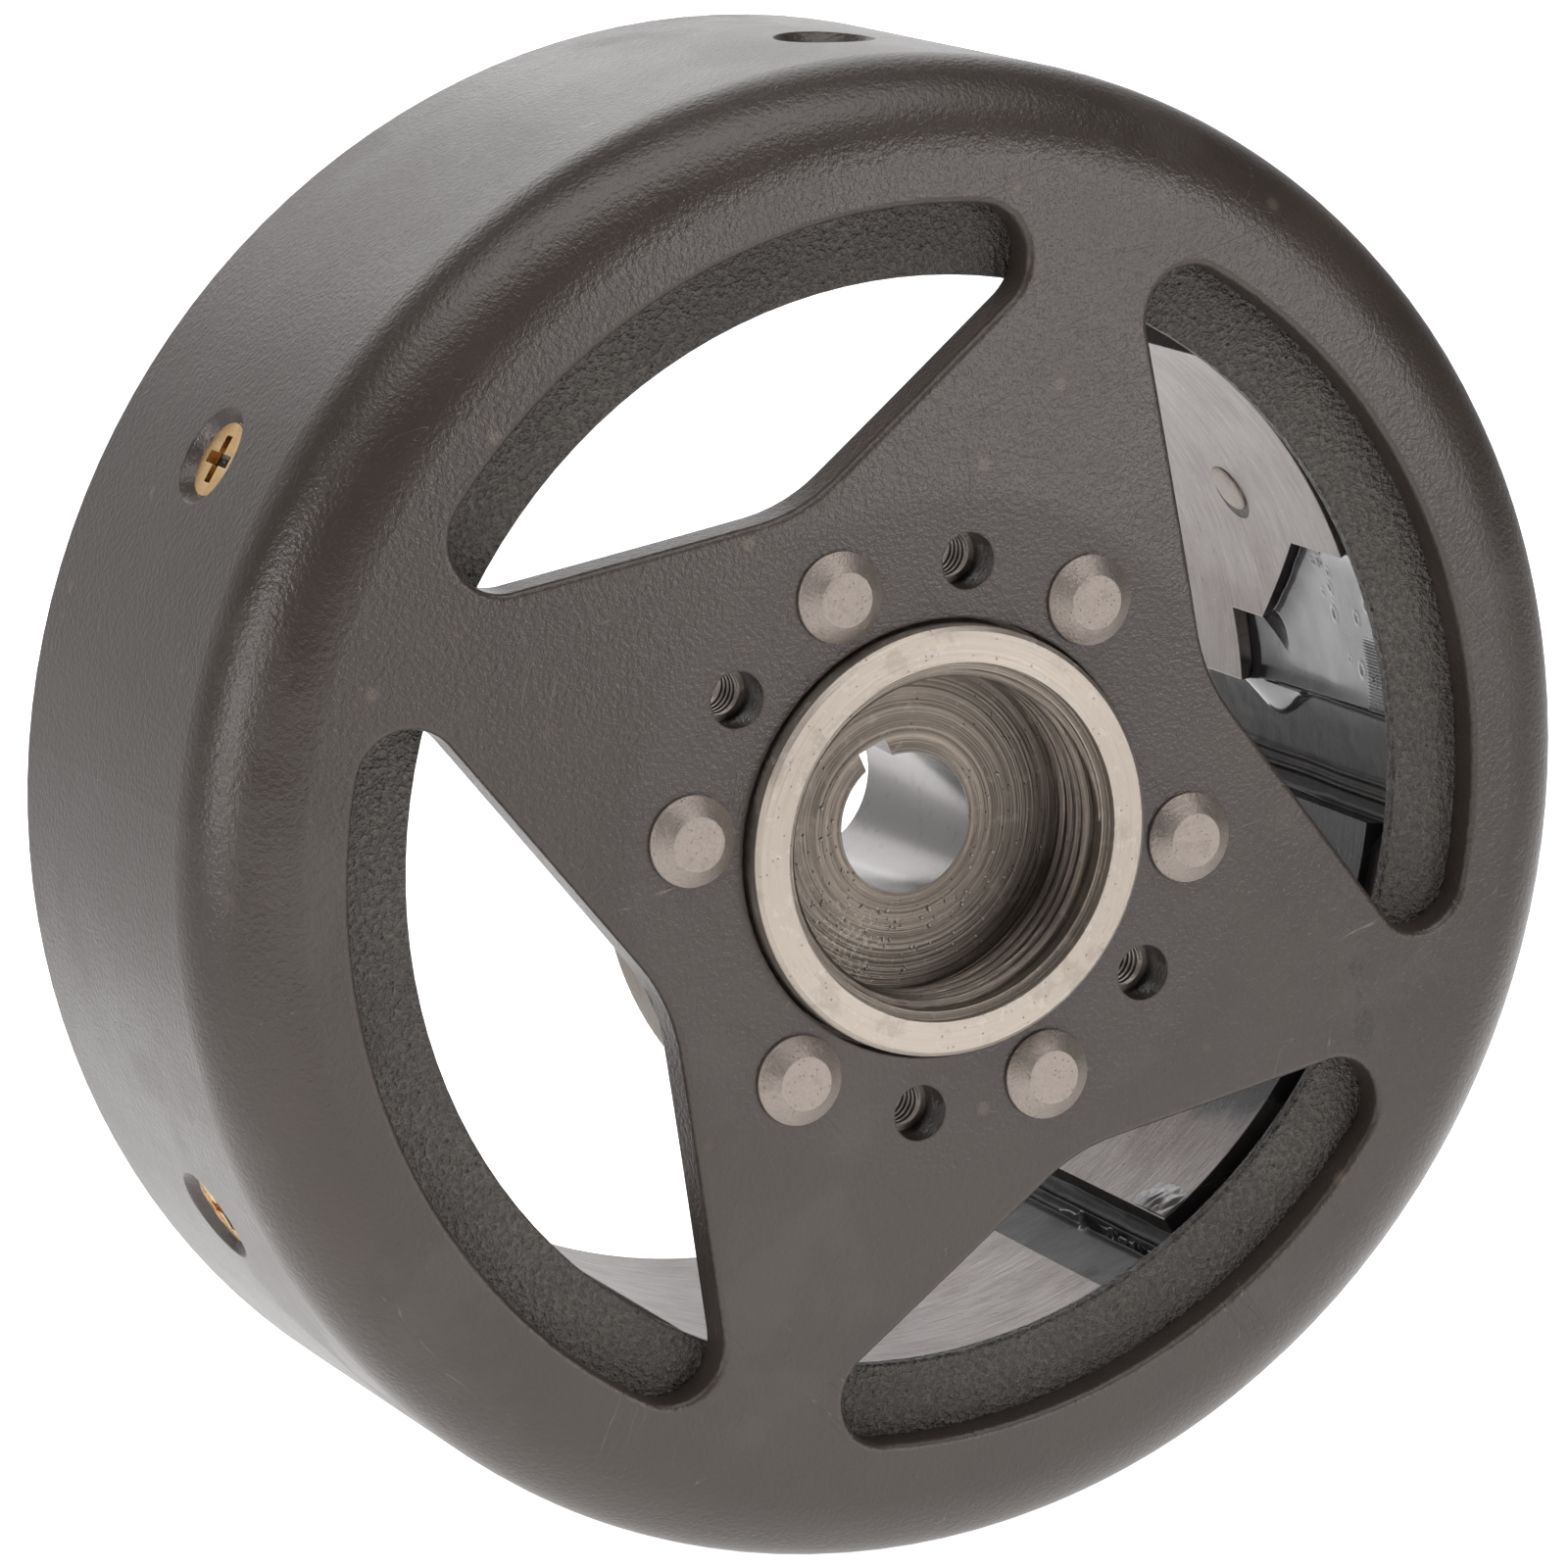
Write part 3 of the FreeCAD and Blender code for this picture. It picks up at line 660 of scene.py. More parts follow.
@dataclass(frozen=True)
class BlackCoat(Finish):
    """Satin black powder coat of the rotor cup, with rubs, hairlines and a few oil spots."""

    clock: Clock
    label: str = "satin_black_coat"
    base: Colour = (0.0355, 0.0275, 0.0232)
    speck: Colour = (0.16, 0.12, 0.09)
    worn: Colour = (0.15, 0.135, 0.122)
    oil: Colour = (0.020, 0.018, 0.017)
    sheen: Colour = (1.0, 0.945, 0.93)
    roughness: float = 0.30

    def scratches(self) -> list[tuple[Vector, Vector, float]]:
        """Single scratches that stand out: start, end and width in mm."""
        def at(radius: float, angle: float) -> Vector:
            """A place on the front face in mm."""
            return self.clock.place(radius, angle, 0.2) / MM

        return [
            (at(38.4, 91.8), at(31.4, 90.6), 0.13),
            (at(34.6, 104.0), at(33.6, 96.0), 0.11),
            (at(33.6, 96.0), at(34.2, 84.0), 0.11),
            (at(34.2, 84.0), at(35.6, 72.0), 0.11),
            (at(36.4, 88.0), at(36.0, 77.0), 0.10),
            (at(32.4, 97.0), at(31.9, 87.0), 0.10),
            (at(41.0, 151.0), at(37.5, 158.0), 0.10),
            (at(47.0, -19.0), at(41.0, -13.0), 0.10),
            (at(34.0, 206.0), at(30.4, 199.0), 0.10),
            (at(43.5, 74.0), at(45.5, 69.0), 0.10),
        ]

    def spots(self) -> list[tuple[Vector, float]]:
        """Dark oil spots: place and radius in mm."""
        at = self.clock.place
        return [(at(48.3, -15.9, 0.9) / MM, 0.9), (at(51.5, -20.9, 1.2) / MM, 1.1),
                (at(52.1, -22.2, 1.2) / MM, 1.3), (at(49.8, -18.5, 1.1) / MM, 0.5)]

    def oil_mask(self, shader: Shader, place: Value) -> Value:
        """Union of the oil spots, with soft wandering edges."""
        oil: Value = 0.0
        wobble = shader.times(shader.noise(place, 0.9, 2.0), 0.9)
        for centre, radius in self.spots():
            away = shader.measure("LENGTH", shader.vector("SUBTRACT", place, centre))
            away = shader.minus(away, wobble)
            oil = shader.maths("MAXIMUM", oil, shader.step(away, radius - 0.8, radius, 1.0, 0.0))
        return oil

    def draw(self, shader: Shader, surface: bpy.types.Node, place: Value, effects: Effects) -> None:
        """Coat skin, wear and marks on a coated dark base."""
        skin = effects.coat.use(shader, place=place, grain=0.5, swell=0.5)
        round_normal = self.rounded(shader, 0.35)
        rub = effects.rub.use(shader, place=place, rounded=round_normal, breakup=0.62)["Mask"]
        marks: Value = shader.times(0.7, effects.hairlines.use(
            shader, place=place, span=11.0, amount=0.75)["Mask"])
        for start, end, width in self.scratches():
            one = effects.stroke.use(shader, place=place, start=start, finish=end, width=width)
            marks = shader.maths("MAXIMUM", marks, one["Mask"])
        oil = self.oil_mask(shader, place)
        haze = effects.stains.use(shader, place=place, spread=26.0, cover=0.44)
        specks = effects.pits.use(shader, place=place, spacing=4.0, share=0.06)["Mask"]
        tone = shader.step(skin["Mottle"], 0.25, 0.75)
        colour = shader.mix(tone, shade(self.base, 0.92), shade(self.base, 1.14))
        colour = shader.lay(colour, haze["Mask"], self.worn, 0.08)
        colour = shader.lay(colour, rub, self.worn, 0.35)
        colour = shader.lay(colour, marks, self.worn, 0.75)
        colour = shader.lay(colour, specks, self.speck, 0.3)
        colour = shader.lay(colour, oil, self.oil, 0.55)
        rough = shader.step(skin["Mottle"], 0.2, 0.8, self.roughness - 0.03, self.roughness + 0.05)
        rough = shader.blend(haze["Mask"], rough, self.roughness + 0.06)
        rough = shader.blend(oil, rough, 0.26)
        shader.feed(surface.inputs["Base Color"], colour)
        shader.feed(surface.inputs["Roughness"], rough)
        surface.inputs["Specular Tint"].default_value = (*self.sheen, 1.0)
        dug = shader.minus(skin["Height"], shader.times(marks, 0.7))
        dug = shader.plus(dug, shader.times(specks, 0.25))
        shader.feed(surface.inputs["Normal"], self.bump(shader, dug, 0.10, round_normal, 0.9))


@dataclass(frozen=True)
class CoarseBlack(Finish):
    """Coarse, sandy black coat of the stop ring."""

    label: str = "coarse_black_coat"
    base: Colour = (0.050, 0.043, 0.038)
    speck: Colour = (0.018, 0.016, 0.015)
    # Colour painted on the grain's tops as glints.
    light: Colour = (0.092, 0.080, 0.070)

    def draw(self, shader: Shader, surface: bpy.types.Node, place: Value, effects: Effects) -> None:
        """Deep grain whose tops are painted lighter as glints, and made a little smoother."""
        skin = effects.coat.use(shader, place=place, grain=0.60, swell=0.3)
        specks = effects.pits.use(shader, place=place, spacing=0.9, share=0.25)["Mask"]
        # Painted glints: the grain's highest tops are laid in a lighter colour.
        glinting_tops = shader.step(skin["Height"], 0.70, 1.05)
        colour = shader.mix(glinting_tops, self.base, self.light)
        colour = shader.lay(colour, specks, self.speck, 0.4)
        shader.feed(surface.inputs["Base Color"], colour)
        shader.feed(surface.inputs["Roughness"], shader.blend(glinting_tops, 0.56, 0.46))
        height = shader.minus(skin["Height"], shader.times(specks, 0.3))
        normal = self.bump(shader, height, 0.70, self.rounded(shader, 0.2), 1.0)
        shader.feed(surface.inputs["Normal"], normal)


@dataclass(frozen=True)
class TurnedSteel(Finish):
    """Bare turned steel of the hub: warm and stained, darkened over the whole socket by painted shade,
    with residue there.
    """

    label: str = "turned_steel"
    base: Colour = (0.372, 0.322, 0.280)
    rubbed: Colour = (0.68, 0.63, 0.57)
    dirt: Colour = (0.08, 0.062, 0.05)
    socket_shade: Colour = (0.150, 0.125, 0.104)
    stain: Colour = (0.22, 0.18, 0.15)
    scale: Colour = (0.52, 0.49, 0.46)
    polished: Colour = (0.225, 0.213, 0.208)
    deposit: Colour = (0.50, 0.44, 0.36)
    deposit_angle: float = 242.0
    deposit_radius: float = 12.6
    deposit_reach: float = 9.0
    socket_floor: float = 7.7
    socket_radius: float = 16.9
    socket_start: float = -1.9
    bore_radius: float = 8.6

    def zones(self, shader: Shader, place: Value) -> tuple[Value, Value]:
        """Masks of the socket and of the tapered bore behind it."""
        y = shader.split(place)[1]
        reach = shader.from_axis(place)
        behind = shader.step(y, self.socket_floor + 0.02, self.socket_floor + 0.2)
        narrow = shader.step(reach, self.bore_radius, self.bore_radius + 0.2, 1.0, 0.0)
        bore = shader.times(behind, narrow)
        sunk = shader.step(y, self.socket_start, self.socket_start + 1.0)
        inside = shader.step(reach, self.socket_radius - 0.1, self.socket_radius, 1.0, 0.0)
        socket = shader.times(sunk, inside)
        return shader.minus(socket, bore, clamp=True), bore

    def deposit_mask(self, shader: Shader, place: Value, effects: Effects) -> Value:
        """Pale flakes dried low on the socket's floor."""
        turn = math.radians(self.deposit_angle)
        centre = Vector((math.cos(turn), 0.0, math.sin(turn))) * self.deposit_radius
        centre.y = self.socket_floor
        away = shader.measure("LENGTH", shader.vector("SUBTRACT", place, centre))
        near = shader.step(away, 1.0, self.deposit_reach, 0.50, 0.30)
        patch = effects.stains.use(shader, place=place, spread=0.55, cover=near)
        return patch["Mask"]

    def draw(self, shader: Shader, surface: bpy.types.Node, place: Value, effects: Effects) -> None:
        """Turning marks, stains, painted shade over the socket, and residue in it."""
        marks = effects.turning.use(shader, place=place, pitch=0.21, drift=0.012)
        patch = effects.stains.use(shader, place=place, spread=4.2, cover=0.46)
        crust = effects.stains.use(shader, place=place, spread=1.3, cover=0.44)
        specks = effects.pits.use(shader, place=place, spacing=0.6, share=0.22)["Mask"]
        round_normal = self.rounded(shader, 0.18)
        rub = effects.rub.use(shader, place=place, rounded=round_normal, breakup=0.4)["Mask"]
        socket, bore = self.zones(shader, place)
        rings = shader.step(marks["Height"], 0.35, 0.65)
        colour = shader.mix(marks["Tone"], shade(self.base, 0.88), shade(self.base, 1.12))
        # Painted shade: a dark colour laid over the whole socket recess, with the turning rings running
        # through it.
        socket_shade = shader.mix(rings, shade(self.socket_shade, 0.55), shade(self.socket_shade, 1.5))
        colour = shader.lay(colour, socket, socket_shade, 0.88)
        colour = shader.lay(colour, patch["Mask"], self.stain, 0.16)
        colour = shader.lay(colour, patch["Rim"], self.stain, 0.22)
        film = shader.times(crust["Mask"], shader.blend(socket, 0.28, 0.12))
        colour = shader.mix(film, colour, self.scale)
        flakes = shader.times(self.deposit_mask(shader, place, effects), socket)
        colour = shader.lay(colour, flakes, self.deposit, 0.6)
        dirt = shader.times(specks, 0.5)
        colour = shader.mix(dirt, colour, self.dirt)
        colour = shader.mix(bore, colour, self.polished)
        colour = shader.lay(colour, rub, self.rubbed, 0.4)
        rough = shader.step(marks["Tone"], 0.25, 0.75, 0.40, 0.50)
        rough = shader.blend(film, rough, 0.62)
        rough = shader.blend(bore, rough, 0.27)
        metal = shader.blend(shader.maths("MAXIMUM", film, dirt), 0.95, 0.55)
        metal = shader.blend(flakes, metal, 0.1)
        shader.feed(surface.inputs["Base Color"], colour)
        shader.feed(surface.inputs["Roughness"], rough)
        shader.feed(surface.inputs["Metallic"], metal)
        height = shader.minus(marks["Height"], shader.times(specks, 0.4))
        height = shader.plus(height, shader.times(film, 0.5))
        depth = shader.blend(socket, 1.0, 1.9)
        height = shader.times(height, shader.blend(bore, depth, 0.12))
        normal = self.bump(shader, height, 0.07, round_normal, 0.9)
        shader.feed(surface.inputs["Normal"], normal)


@dataclass(frozen=True)
class RivetSteel(Finish):
    """Dull bare steel of the formed rivet heads."""

    label: str = "rivet_steel"
    base: Colour = (0.268, 0.229, 0.203)
    patchy: Colour = (0.17, 0.14, 0.12)
    speck: Colour = (0.10, 0.08, 0.07)
    rubbed: Colour = (0.55, 0.50, 0.46)
    scratch: Colour = (0.6, 0.55, 0.51)

    def draw(self, shader: Shader, surface: bpy.types.Node, place: Value, effects: Effects) -> None:
        """Pits, stains and bright rubbed edges."""
        specks = effects.pits.use(shader, place=place, spacing=0.45, share=0.4)["Mask"]
        patch = effects.stains.use(shader, place=place, spread=2.0, cover=0.47)
        lines = effects.hairlines.use(shader, place=shader.grow(place, 3.0), span=5.0,
                                      amount=1.0)["Mask"]
        round_normal = self.rounded(shader, 0.25)
        rub = effects.rub.use(shader, place=place, rounded=round_normal, breakup=0.25)["Mask"]
        grain = shader.noise(place, 3.4, 3.0, 0.65)
        colour = shader.mix(grain, shade(self.base, 0.78), shade(self.base, 1.22))
        colour = shader.lay(colour, patch["Mask"], self.patchy, 0.3)
        colour = shader.lay(colour, specks, self.speck, 0.5)
        colour = shader.lay(colour, rub, self.rubbed, 0.4)
        colour = shader.lay(colour, lines, self.scratch, 0.5)
        shader.feed(surface.inputs["Base Color"], colour)
        shader.feed(surface.inputs["Roughness"], shader.blend(grain, 0.40, 0.54))
        surface.inputs["Metallic"].default_value = 0.9
        height = shader.minus(grain, shader.times(specks, 0.6))
        height = shader.minus(height, shader.times(lines, 0.4))
        normal = self.bump(shader, height, 0.09, round_normal, 0.8)
        shader.feed(surface.inputs["Normal"], normal)


@dataclass(frozen=True)
class DryResidue(Finish):
    """Pale dried grease and scale."""

    label: str = "dry_residue"
    base: Colour = (0.30, 0.27, 0.24)
    pale: Colour = (0.56, 0.53, 0.49)

    def draw(self, shader: Shader, surface: bpy.types.Node, place: Value, effects: Effects) -> None:
        """Chalky, two-toned and rough."""
        skin = effects.coat.use(shader, place=place, grain=0.2, swell=0.4)
        grain = shader.noise(place, 2.4, 4.0, 0.7)
        colour = shader.mix(shader.step(grain, 0.4, 0.6), self.base, self.pale)
        shader.feed(surface.inputs["Base Color"], colour)
        surface.inputs["Roughness"].default_value = 0.7
        normal = shader.add("ShaderNodeNewGeometry").outputs["Normal"]
        bent = self.bump(shader, skin["Height"], 0.05, normal, 0.7)
        shader.feed(surface.inputs["Normal"], bent)


@dataclass(frozen=True)
class ShoeSteel(Finish):
    """Brushed bare steel of the pole shoes, with brown haze, filmed dark in one place."""

    clock: Clock
    label: str = "shoe_steel"
    base: Colour = (0.192, 0.171, 0.165)
    speck: Colour = (0.11, 0.085, 0.075)
    scratch: Colour = (0.62, 0.59, 0.57)
    rubbed: Colour = (0.66, 0.63, 0.60)
    brown: Colour = (0.120, 0.094, 0.086)
    film: Colour = (0.018, 0.017, 0.020)
    # Painted shadow colour for the hollow beside each spread tip.
    hollow_shade: Colour = (0.020, 0.015, 0.012)
    hollow_radius: float = 2.80
    hollow_shift: float = 0.7
    hollow_depth: float = 26.4
    bore_radius: float = 51.5
    poles: int = 6
    first_pole: float = 34.5
    film_angle: float = -16.0
    film_depth: float = 18.0
    film_reach: float = 21.0

    def film_mask(self, shader: Shader, place: Value) -> Value:
        """Dark resin film round one place on the inner faces."""
        centre = self.clock.place(self.bore_radius, self.film_angle, self.film_depth) / MM
        away = shader.measure("LENGTH", shader.vector("SUBTRACT", place, centre))
        wobble = shader.times(shader.noise(place, 0.25, 4.0, 0.6), 7.0)
        away = shader.plus(away, wobble)
        return shader.step(away, self.film_reach - 1.0, self.film_reach + 2.5, 1.0, 0.0)

    def hollow_shade_mask(self, shader: Shader, place: Value) -> Value:
        """Hollow beside one side of each screw's spread tip, where a painted shadow lies."""
        x, y, z = shader.split(place)[:3]
        start = self.clock.offset + math.radians(self.first_pole)
        half_pitch = math.pi / self.poles
        turn = shader.minus(shader.maths("ARCTAN2", z, x), start)
        turn = shader.add("ShaderNodeMath", {0: turn, 1: half_pitch, 2: -half_pitch},
                          operation="WRAP").outputs[0]
        across = shader.plus(shader.times(turn, self.bore_radius), self.hollow_shift)
        depth = shader.minus(y, self.hollow_depth)
        away = shader.measure("LENGTH", shader.join(across, depth, 0.0))
        return shader.step(away, self.hollow_radius - 0.12, self.hollow_radius, 1.0, 0.0)

    def draw(self, shader: Shader, surface: bpy.types.Node, place: Value, effects: Effects) -> None:
        """Drawn grain, haze, pits and rubbed edges."""
        grain = effects.drawn.use(shader, place=place, pitch=0.30, length=5.0)
        cross = effects.turning.use(shader, place=shader.grow(place, 0.8), pitch=0.4, drift=0.9)
        haze = shader.noise(place, 0.10, 5.0, 0.62)
        specks = effects.pits.use(shader, place=place, spacing=1.1, share=0.14)["Mask"]
        lines = effects.hairlines.use(shader, place=place, span=6.0, amount=0.9)["Mask"]
        round_normal = self.rounded(shader, 0.2)
        rub = effects.rub.use(shader, place=place, rounded=round_normal, breakup=0.3)["Mask"]
        film = self.film_mask(shader, place)
        colour = shader.mix(grain["Tone"], shade(self.base, 0.84), shade(self.base, 1.16))
        colour = shader.mix(shader.step(haze, 0.42, 0.68, 0.0, 0.50), colour, self.brown)
        colour = shader.lay(colour, specks, self.speck, 0.4)
        colour = shader.lay(colour, lines, self.scratch, 0.3)
        colour = shader.lay(colour, rub, self.rubbed, 0.5)
        colour = shader.mix(film, colour, self.film)
        # Painted shadow: a dark crescent beside each spread tip, which the bump also dents.
        hollow_shade = self.hollow_shade_mask(shader, place)
        colour = shader.mix(hollow_shade, colour, self.hollow_shade)
        rough = shader.step(grain["Height"], 0.3, 0.7, 0.33, 0.46)
        shader.feed(surface.inputs["Base Color"], colour)
        shader.feed(surface.inputs["Roughness"], shader.blend(film, rough, 0.22))
        shader.feed(surface.inputs["Metallic"], shader.blend(film, 0.95, 0.1))
        height = shader.plus(grain["Height"], shader.times(cross["Height"], 0.5))
        height = shader.minus(height, shader.times(specks, 0.5))
        height = shader.minus(height, shader.times(lines, 0.4))
        height = shader.minus(height, shader.times(hollow_shade, 4.0))
        normal = self.bump(shader, height, 0.05, round_normal, 0.8)
        shader.feed(surface.inputs["Normal"], normal)


@dataclass(frozen=True)
class Ferrite(Finish):
    """Dark grey magnet with ground faces."""

    label: str = "ferrite"
    base: Colour = (0.042, 0.038, 0.036)
    speck: Colour = (0.018, 0.017, 0.017)
    light: Colour = (0.078, 0.070, 0.066)

    def draw(self, shader: Shader, surface: bpy.types.Node, place: Value, effects: Effects) -> None:
        """Ground grain with small chips."""
        grain = effects.drawn.use(shader, place=place, pitch=0.5, length=4.0)
        specks = effects.pits.use(shader, place=place, spacing=0.8, share=0.3)["Mask"]
        colour = shader.mix(grain["Tone"], self.base, self.light)
        colour = shader.lay(colour, specks, self.speck, 0.5)
        shader.feed(surface.inputs["Base Color"], colour)
        shader.feed(surface.inputs["Roughness"], shader.blend(grain["Tone"], 0.36, 0.55))
        height = shader.minus(grain["Height"], specks)
        normal = self.bump(shader, height, 0.07, self.rounded(shader, 0.25), 0.8)
        shader.feed(surface.inputs["Normal"], normal)


@dataclass(frozen=True)
class PottingResin(Finish):
    """Set resin: a cloudy body under a glossy skin."""

    label: str = "potting_resin"
    base: Colour = (0.022, 0.0182, 0.0160)
    speck: Colour = (0.02, 0.018, 0.018)
    cloud: Colour = (0.044, 0.037, 0.034)
    gloss: float = 0.10
    roughness: float = 0.46
    grain: float = 1.4
    shine: float = 0.28

    def draw(self, shader: Shader, surface: bpy.types.Node, place: Value, effects: Effects) -> None:
        """Cloudy body under a clear coat."""
        skin = effects.coat.use(shader, place=place, grain=self.grain, swell=0.6)
        cloud = effects.stains.use(shader, place=place, spread=5.0, cover=0.45)
        specks = effects.pits.use(shader, place=place, spacing=1.5, share=0.12)["Mask"]
        colour = shader.mix(skin["Mottle"], self.base, shade(self.base, 1.35))
        colour = shader.lay(colour, cloud["Mask"], self.cloud, 0.30)
        colour = shader.lay(colour, specks, self.speck, 0.5)
        rough = shader.blend(cloud["Mask"], self.roughness, self.roughness + 0.08)
        shader.feed(surface.inputs["Base Color"], colour)
        shader.feed(surface.inputs["Roughness"], rough)
        surface.inputs["Specular IOR Level"].default_value = self.shine
        surface.inputs["Coat Weight"].default_value = self.gloss
        surface.inputs["Coat Roughness"].default_value = 0.06
        normal = shader.add("ShaderNodeNewGeometry").outputs["Normal"]
        bent = self.bump(shader, skin["Height"], 0.10, normal, 0.6)
        shader.feed(surface.inputs["Normal"], bent)


@dataclass(frozen=True)
class GoldZinc(Finish):
    """Gold passivated zinc of the pole screws, ground bare at their tips."""

    label: str = "gold_zinc"
    base: Colour = (0.72, 0.44, 0.17)
    patchy: Colour = (0.68, 0.36, 0.18)
    speck: Colour = (0.25, 0.14, 0.06)
    rubbed: Colour = (0.93, 0.78, 0.50)
    light: Colour = (0.84, 0.58, 0.28)
    bare: Colour = (0.56, 0.53, 0.50)
    bare_below: float = 55.0

    def draw(self, shader: Shader, surface: bpy.types.Node, place: Value, effects: Effects) -> None:
        """Patchy gold with rubbed edges and dirt."""
        patch = effects.stains.use(shader, place=place, spread=2.2, cover=0.5)
        specks = effects.pits.use(shader, place=place, spacing=0.5, share=0.25)["Mask"]
        round_normal = self.rounded(shader, 0.15)
        rub = effects.rub.use(shader, place=place, rounded=round_normal, breakup=0.3)["Mask"]
        grain = shader.noise(place, 4.5, 3.0, 0.6)
        tip = shader.step(shader.from_axis(place), self.bare_below, self.bare_below + 1.0, 1.0, 0.0)
        colour = shader.mix(grain, shade(self.base, 0.86), self.light)
        colour = shader.lay(colour, patch["Mask"], self.patchy, 0.3)
        colour = shader.lay(colour, specks, self.speck, 0.4)
        colour = shader.lay(colour, rub, self.rubbed, 0.5)
        colour = shader.mix(tip, colour, self.bare)
        shader.feed(surface.inputs["Base Color"], colour)
        shader.feed(surface.inputs["Roughness"], shader.blend(patch["Mask"], 0.24, 0.38))
        surface.inputs["Metallic"].default_value = 1.0
        normal = self.bump(shader, grain, 0.04, round_normal, 0.6)
        shader.feed(surface.inputs["Normal"], normal)


@dataclass(frozen=True)
class PaleSweep(Finish):
    """Pale sheet under and behind the flywheel that glows by itself: painted light standing in for a
    light behind it.
    """

    label: str = "pale_sweep"
    base: Colour = (0.88, 0.88, 0.88)
    glow: float = 0.95
    dim: Colour = (0.16, 0.16, 0.165)
    heading: float = -26.47
    half_width: float = 112.0
    fade: float = 120.0
    widening: float = 0.11

    def draw(self, shader: Shader, surface: bpy.types.Node, place: Value, effects: Effects) -> None:
        """Faint tooth in a plain sheet, whose glow is a lane that fades to both sides."""
        tooth = shader.noise(place, 0.4, 3.0)
        turn = math.radians(self.heading)
        side = (math.cos(turn), math.sin(turn), 0.0)
        ahead = (-math.sin(turn), math.cos(turn), 0.0)
        off = shader.maths("ABSOLUTE", shader.measure("DOT_PRODUCT", place, side))
        along = shader.maths("MAXIMUM", shader.measure("DOT_PRODUCT", place, ahead), 0.0)
        wide = shader.plus(shader.times(along, self.widening), self.half_width)
        lane = shader.step(off, wide, shader.plus(wide, self.fade), 1.0, 0.0)
        colour = shader.mix(tooth, self.base, shade(self.base, 0.985))
        shader.feed(surface.inputs["Base Color"], colour)
        surface.inputs["Roughness"].default_value = 0.9
        surface.inputs["Specular IOR Level"].default_value = 0.1
        # Painted light: the sheet's own glow, white in a lane and dim to either side.
        shader.feed(surface.inputs["Emission Color"], shader.mix(lane, self.dim, (1.0, 1.0, 1.0)))
        surface.inputs["Emission Strength"].default_value = self.glow


@dataclass(frozen=True)
class Palette:
    """Every finish, made once and kept by slot."""

    by_slot: dict[Slot, bpy.types.Material]
    glossy_resin: bpy.types.Material
    clear_resin: bpy.types.Material
    residue: bpy.types.Material
    sweep: bpy.types.Material

    @classmethod
    def mix(cls, clock: Clock) -> "Palette":
        """Make all finishes.

        Args:
            clock: Where marks on the front face lie.

        Returns:
            The finished palette.
        """
        effects = Effects()
        finishes: dict[Slot, Finish] = {
            Slot.BLACK_COAT: BlackCoat(clock),
            Slot.TURNED_STEEL: TurnedSteel(),
            Slot.RIVET_STEEL: RivetSteel(),
            Slot.COARSE_BLACK: CoarseBlack(),
            Slot.FERRITE: Ferrite(),
            Slot.SHOE_STEEL: ShoeSteel(clock),
            Slot.RESIN: PottingResin(),
            Slot.GOLD_ZINC: GoldZinc(),
        }
        made = {slot: finish.make(effects) for slot, finish in finishes.items()}
        glossy = PottingResin(label="glossy_resin", base=(0.040, 0.038, 0.043),
                              cloud=(0.105, 0.097, 0.108), gloss=0.7, roughness=0.18, grain=4.0,
                              shine=0.5)
        clear = PottingResin(label="clear_resin", base=(0.150, 0.132, 0.127),
                             cloud=(0.19, 0.17, 0.163), gloss=0.4, roughness=0.32, grain=3.0,
                             shine=0.5)
        return cls(made, glossy.make(effects), clear.make(effects), DryResidue().make(effects),
                   PaleSweep().make(effects))


# --- Pieces --------------------------------------------------------------------------------------

@dataclass(frozen=True)
class CadNodes:
    """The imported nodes, which keep their shape and take their slot's finish."""

    record: dict

    def dress(self, palette: Palette) -> None:
        """Give each node its finish.

        Args:
            palette: The finishes by slot.
        """
        for entry in self.record["subparts"]:
            node = frame["nodes"][entry["node"]]
            slot = Slot(entry["material_slot"])
            node.data.materials.clear()
            node.data.materials.append(palette.by_slot[slot])
            log.info("dressed %s in %s", entry["node"], slot.value)


@dataclass(frozen=True)
class ThreadRidge:
    """Helical ridge of an inside thread, run out at both ends."""

    name: str
    centre: Vector
    wall: float
    crest: float
    pitch: float
    start: float
    end: float
    slot: Slot
    turn_steps: int = 120

    def build(self, palette: Palette) -> bpy.types.Object:
        """Draw the ridge as a closed strip with a flat crest.

        Args:
            palette: The finishes by slot.

        Returns:
            The piece.
        """
        turns = (self.end - self.start) / self.pitch - 1.0
        steps = int(turns * self.turn_steps)
        draft = Draft()
        rows = []
        for step in range(steps + 1):
            turn = step / self.turn_steps
            fade = min(1.0, step / 25.0 + 0.02, (steps - step) / 25.0 + 0.02)
            rows.append(self.section(turn, fade))
        index = draft.add_grid(rows, loop_rows=True)
        draft.faces.append(tuple(reversed(index[0])))
        draft.faces.append(tuple(index[-1]))
        return draft.finish(self.name, palette.by_slot[self.slot], self.slot)

    def section(self, turn: float, fade: float) -> list[Vector]:
        """Cross-section of the ridge at a turn.

        Args:
            turn: Turns from the start.
            fade: Height of the ridge there, 0 to 1.

        Returns:
            Four corners, from the front foot to the rear foot.
        """
        angle = turn * 2.0 * math.pi
        depth = self.start + self.pitch * (0.5 + turn)
        crest = self.wall + (self.crest - self.wall) * fade
        foot = self.pitch * 0.46
        corners = [(self.wall + 0.03, -foot), (crest, -self.pitch * 0.07),
                   (crest, self.pitch * 0.07), (self.wall + 0.03, foot)]
        out = Vector((math.cos(angle), 0.0, math.sin(angle)))
        along = Vector((0.0, 1.0, 0.0))
        return [self.centre + (out * radius + along * (depth + shift)) * MM
                for radius, shift in corners]


